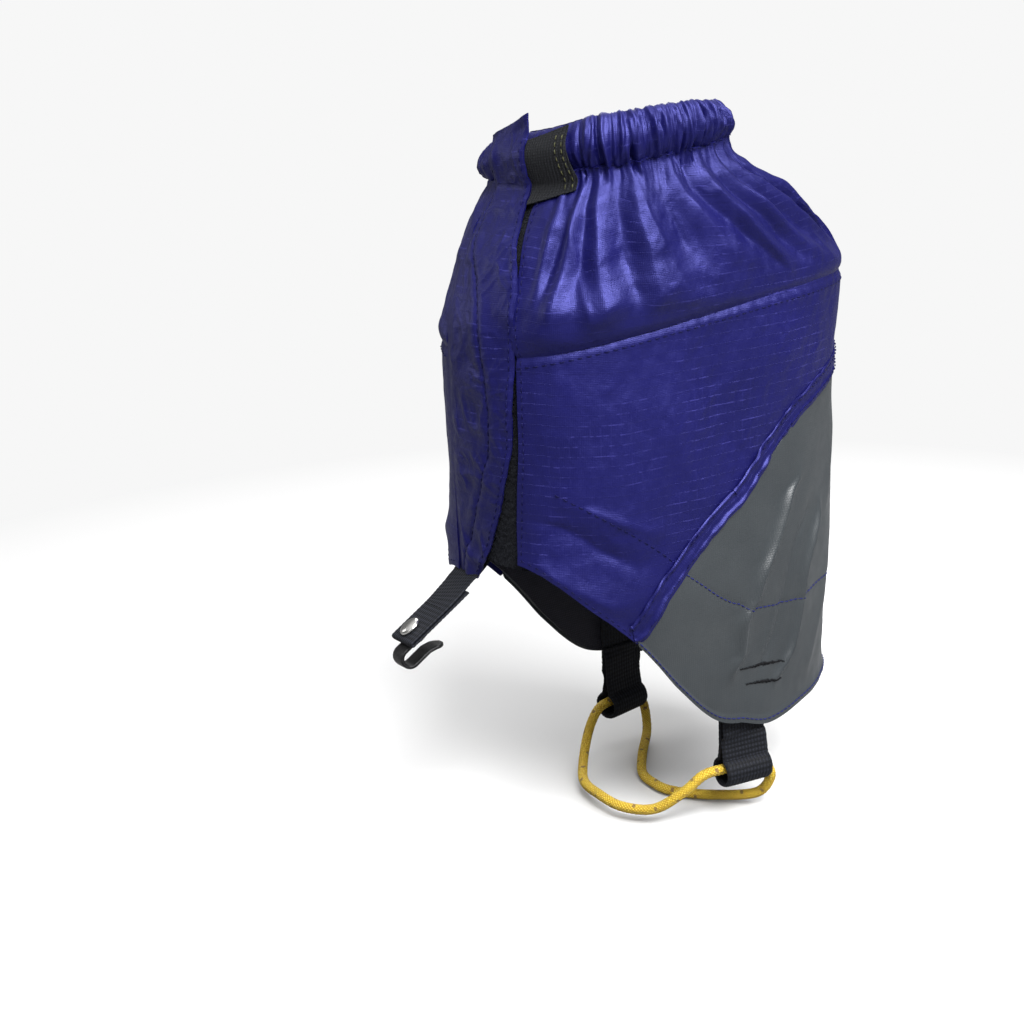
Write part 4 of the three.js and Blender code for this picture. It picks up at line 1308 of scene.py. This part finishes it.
def lace_path():
    """The strap from behind the flap, out over the rivet, round the fold and back, and its turning."""
    reach = float(np.linalg.norm(RIVET - LACE_ROOT)) + 5.5
    at = lambda s, rise: LACE_ROOT + LACE_ALONG * s + LACE_NORMAL * rise
    top, under = LACE_THICK - LACE_LAYER / 2, LACE_LAYER / 2
    turning = LACE_ROOT + np.array([0, 1.0, 3.6])
    share = np.linspace(0, 1, 12)
    start = [(LACE_ROOT + LACE_BEHIND) * (1 - t) ** 2 + 2 * t * (1 - t) * turning + t ** 2 * at(3, top)
             for t in share]
    upper = start + [at(s, top) for s in np.linspace(5, reach - 1, 18)]
    upper = [place + LACE_SHIFT * (1 - ease((place - LACE_ROOT) @ LACE_ALONG, 0, 17)) for place in upper]
    bend = (LACE_THICK - LACE_LAYER) / 2
    fold = [at(reach - 0.6 + bend * math.cos(a), LACE_THICK / 2 + bend * math.sin(a))
            for a in np.radians(np.linspace(75, -75, 9))]
    path = upper + fold + [at(s, under) for s in np.linspace(reach - 1, 7, 18)]
    return np.array(path), np.concatenate([share, np.ones(len(path) - len(share))])


def lace_tab():
    path, turned = lace_path()
    turned = turned[:, None]
    direction = np.array([1.0, 0, 0]) * (1 - turned) + LACE_ACROSS * turned
    piece = webbing_band("folded_lace_webbing", path, direction, LACE_WIDTH, LACE_LAYER)
    dress(piece, "webbing", replaces=["lace_tab"])
    blend_between(piece)


def lace_stitching():
    side = np.linspace(-8, 8, 40)[:, None]
    path = RIVET - LACE_ALONG * 12 + LACE_ACROSS * side + LACE_NORMAL * 2.5
    piece = stitches("lace_tab_stitch", path, np.broadcast_to(LACE_NORMAL, path.shape), 2.4, 1.8)
    dress(piece, "black_thread", "lace_tab")


def on_lace_tab(rings, rise):
    """Moves rings made in (along, across, normal) axes to the rivet, raised along the normal."""
    return rings @ np.stack([LACE_ALONG, LACE_ACROSS, LACE_NORMAL]) + RIVET + LACE_NORMAL * rise


def lace_hook():
    """A bent steel strip: flat under the strap, round the bend, back under itself, with a turned lip."""
    thick, bend, reach, half_width, tip_round = 1.5, 4.0, 8.0, 4.5, 3.0
    radius = bend - thick / 2
    bottom = -2 * bend + thick / 2
    centre = [(x, -thick / 2) for x in (-6, -3, 0, 4)]
    centre += [(reach + radius * math.cos(a), -bend + radius * math.sin(a))
               for a in np.linspace(math.pi / 2, -math.pi / 2, 18)]
    centre += [(4, bottom), (1, bottom), (-2, bottom - 0.9), (-5, bottom - 2.5)]
    step = 0.5
    path = resample([(x, 0, z) for x, z in centre], step)
    side, lift = frames_along(path, np.broadcast_to([0, 1.0, 0], path.shape))
    corners = np.linspace(0, 2 * math.pi, 24, endpoint=False)
    square = lambda v, power: np.sign(v) * np.abs(v) ** power
    ends = np.minimum(np.arange(len(path)), np.arange(len(path))[::-1]) * step
    half = half_width * np.sqrt(np.clip(1 - (1 - np.clip(ends / tip_round, 0, 1)) ** 2, 0.2, 1))
    wide = half[:, None] * square(np.cos(corners), 0.25)
    deep = thick / 2 * square(np.sin(corners), 0.45) + 0 * wide
    piece = tube("bent_lace_hook", on_lace_tab(rings_along(path, side, lift, wide, deep), -0.35))
    dress(piece, "black_steel", "lace_hook", ["lace_hook"])


def lathe(name, profile, rise):
    """A round metal piece on the rivet's axis, from (radius, height) points."""
    turn = np.linspace(0, 2 * math.pi, 48, endpoint=False)
    radius, height = np.array(profile, float).T[:, :, None]
    rings = np.stack([radius * np.cos(turn), radius * np.sin(turn), height + 0 * turn], -1)
    return tube(name, on_lace_tab(rings, rise))


def rivets():
    rim, edge = 4.2, 0.6
    dome = [(rim - 0.5, 0.0), (rim, 0.25), (rim, edge)]
    dome += [(rim * math.cos(a) ** 0.8, edge + 1.5 * math.sin(a)) for a in np.linspace(0.12, 1.5, 14)]
    dress(lathe("domed_rivet_cap", dome, 2.8), "nickel", "lace_tab", ["rivet_cap"])
    low, flange, stem = -1.9, 3.4, 1.8
    post = [(0.8, low - 1.0), (flange - 0.3, low - 0.9), (flange, low - 0.55), (flange - 0.1, low - 0.1),
            (stem + 0.1, low), (stem, low + 0.3), (stem, 2.3), (stem - 0.3, 2.45)]
    dress(lathe("flared_rivet_post", post, 0), "nickel", "lace_tab", ["rivet_post"])


# ---- Stage, light and camera -----------------------------------------------------------------

CAMERA_PLACE = (420.0, -318.0, 294.0)   # in the leg's frame
CAMERA_AZIMUTH, CAMERA_PITCH, CAMERA_ROLL = 58.44, 17.38, -2.78
CAMERA_LENS, SENSOR_WIDTH = 49.2, 36
BACKDROP_GLOW = 0.93
LIGHTS = {    # place in metres, size in metres and power in watts
    "key": ((1.05, -0.2, 0.72), 0.5, 3),
    "high": ((0.75, -0.25, 1.05), 0.42, 15),
    "high_back": ((0.95, 0.42, 1.0), 0.5, 13),
    "overhead": ((0.15, 0.0, 1.2), 0.8, 4),
    "front": ((0.5, -1.05, 0.6), 0.7, 1.1),
    "left": ((-0.9, -0.7, 0.45), 0.4, 0.9),
    "rim": ((-0.8, 0.5, 0.8), 0.6, 3),
}


def floor():
    """A pale floor that fades into an even sweep away from the gaiter."""
    bpy.ops.mesh.primitive_plane_add(size=8, location=(0, 0, -0.0005))
    plane = bpy.context.object
    plane.name = "floor"
    s = Shader("pale_floor", 0.8)
    pale = s.tones(s.noise(s.place(1.0), 3.0, 3), 0.3, 0.7, (0.8, 0.8, 0.8), (0.83, 0.83, 0.83))
    seen = s.node("ShaderNodeLightPath").outputs["Is Camera Ray"]
    distance = s.node("ShaderNodeVectorMath", {0: s.place(1.0)}, operation="LENGTH").outputs["Value"]
    far = s.ramp(distance, 0.22, 0.6)
    s.set("Base Color", s.mix(seen, (0.2, 0.2, 0.2), s.mix(far, pale, (0, 0, 0))))
    s.set("Specular IOR Level", 0.0)
    s.set("Emission Color", (1, 1, 1))
    s.set("Emission Strength", s.times(s.times(far, seen), BACKDROP_GLOW))
    plane.data.materials.append(s.material)


def world():
    """Pale to the camera, and a dim room with a bright ceiling to everything else."""
    made = bpy.data.worlds.new("studio")
    made.use_nodes = True
    tree = made.node_tree

    def node(kind, values=(), links=()):
        new = tree.nodes.new(kind)
        for key, value in dict(values).items():
            new.inputs[key].default_value = value
        for key, output in dict(links).items():
            tree.links.new(output, new.inputs[key])
        return new.outputs

    seen = node("ShaderNodeLightPath")["Is Camera Ray"]
    direction = node("ShaderNodeTexCoord")["Generated"]
    height = node("ShaderNodeSeparateXYZ", links={0: direction})["Z"]
    room = {"From Min": 0.35, "From Max": 0.85, "To Min": 0.14, "To Max": 0.8}
    ceiling = node("ShaderNodeMapRange", room, {"Value": height})["Result"]
    strength = node("ShaderNodeMix", {3: BACKDROP_GLOW}, {0: seen, 2: ceiling})[0]
    background = tree.nodes["Background"]
    background.inputs["Color"].default_value = (1, 1, 1, 1)
    tree.links.new(strength, background.inputs["Strength"])
    bpy.context.scene.world = made


def studio():
    low, high = cad_bounds
    centre = Vector((low + high) / 2)
    for name, (place, size, power) in LIGHTS.items():
        data = bpy.data.lights.new(name, "AREA")
        data.size, data.energy = size, power
        lamp = add_to_scene(name, data)
        lamp.location = place
        lamp.rotation_euler = (centre - Vector(place)).to_track_quat("-Z", "Y").to_euler()
    world()
    bpy.context.scene.view_settings.view_transform = "Standard"


def camera():
    a, p, roll = (math.radians(v) for v in (CAMERA_AZIMUTH, CAMERA_PITCH, CAMERA_ROLL))
    right = Vector((math.cos(a), math.sin(a), 0))
    ahead = Vector((-math.sin(a) * math.cos(p), math.cos(a) * math.cos(p), -math.sin(p)))
    up = right.cross(ahead)
    turned_right = right * math.cos(roll) + up * math.sin(roll)
    turned_up = up * math.cos(roll) - right * math.sin(roll)
    data = bpy.data.cameras.new("camera")
    data.lens, data.sensor_width = CAMERA_LENS, SENSOR_WIDTH
    basis = Matrix((turned_right, turned_up, -ahead)).transposed().to_4x4()
    basis.translation = Vector(row_point(*CAMERA_PLACE))
    made = add_to_scene("camera", data)
    made.matrix_world = basis
    bpy.context.scene.camera = made


# ---- The gaiter ------------------------------------------------------------------------------

upper_panel()
lower_panel()
heel_patch()
patch_seam()
hem_facing()
collar_casing()
collar_elastic()
loop_tape()
collar_tape_patch()
flaps()
hook_tapes()
shell_stitching()
patch_seam_stitching()
collar_stitching()
flap_stitching()
bar_tacks()
side_loops()
instep_cord()
lace_tab()
lace_stitching()
lace_hook()
rivets()

floor()
studio()
camera()
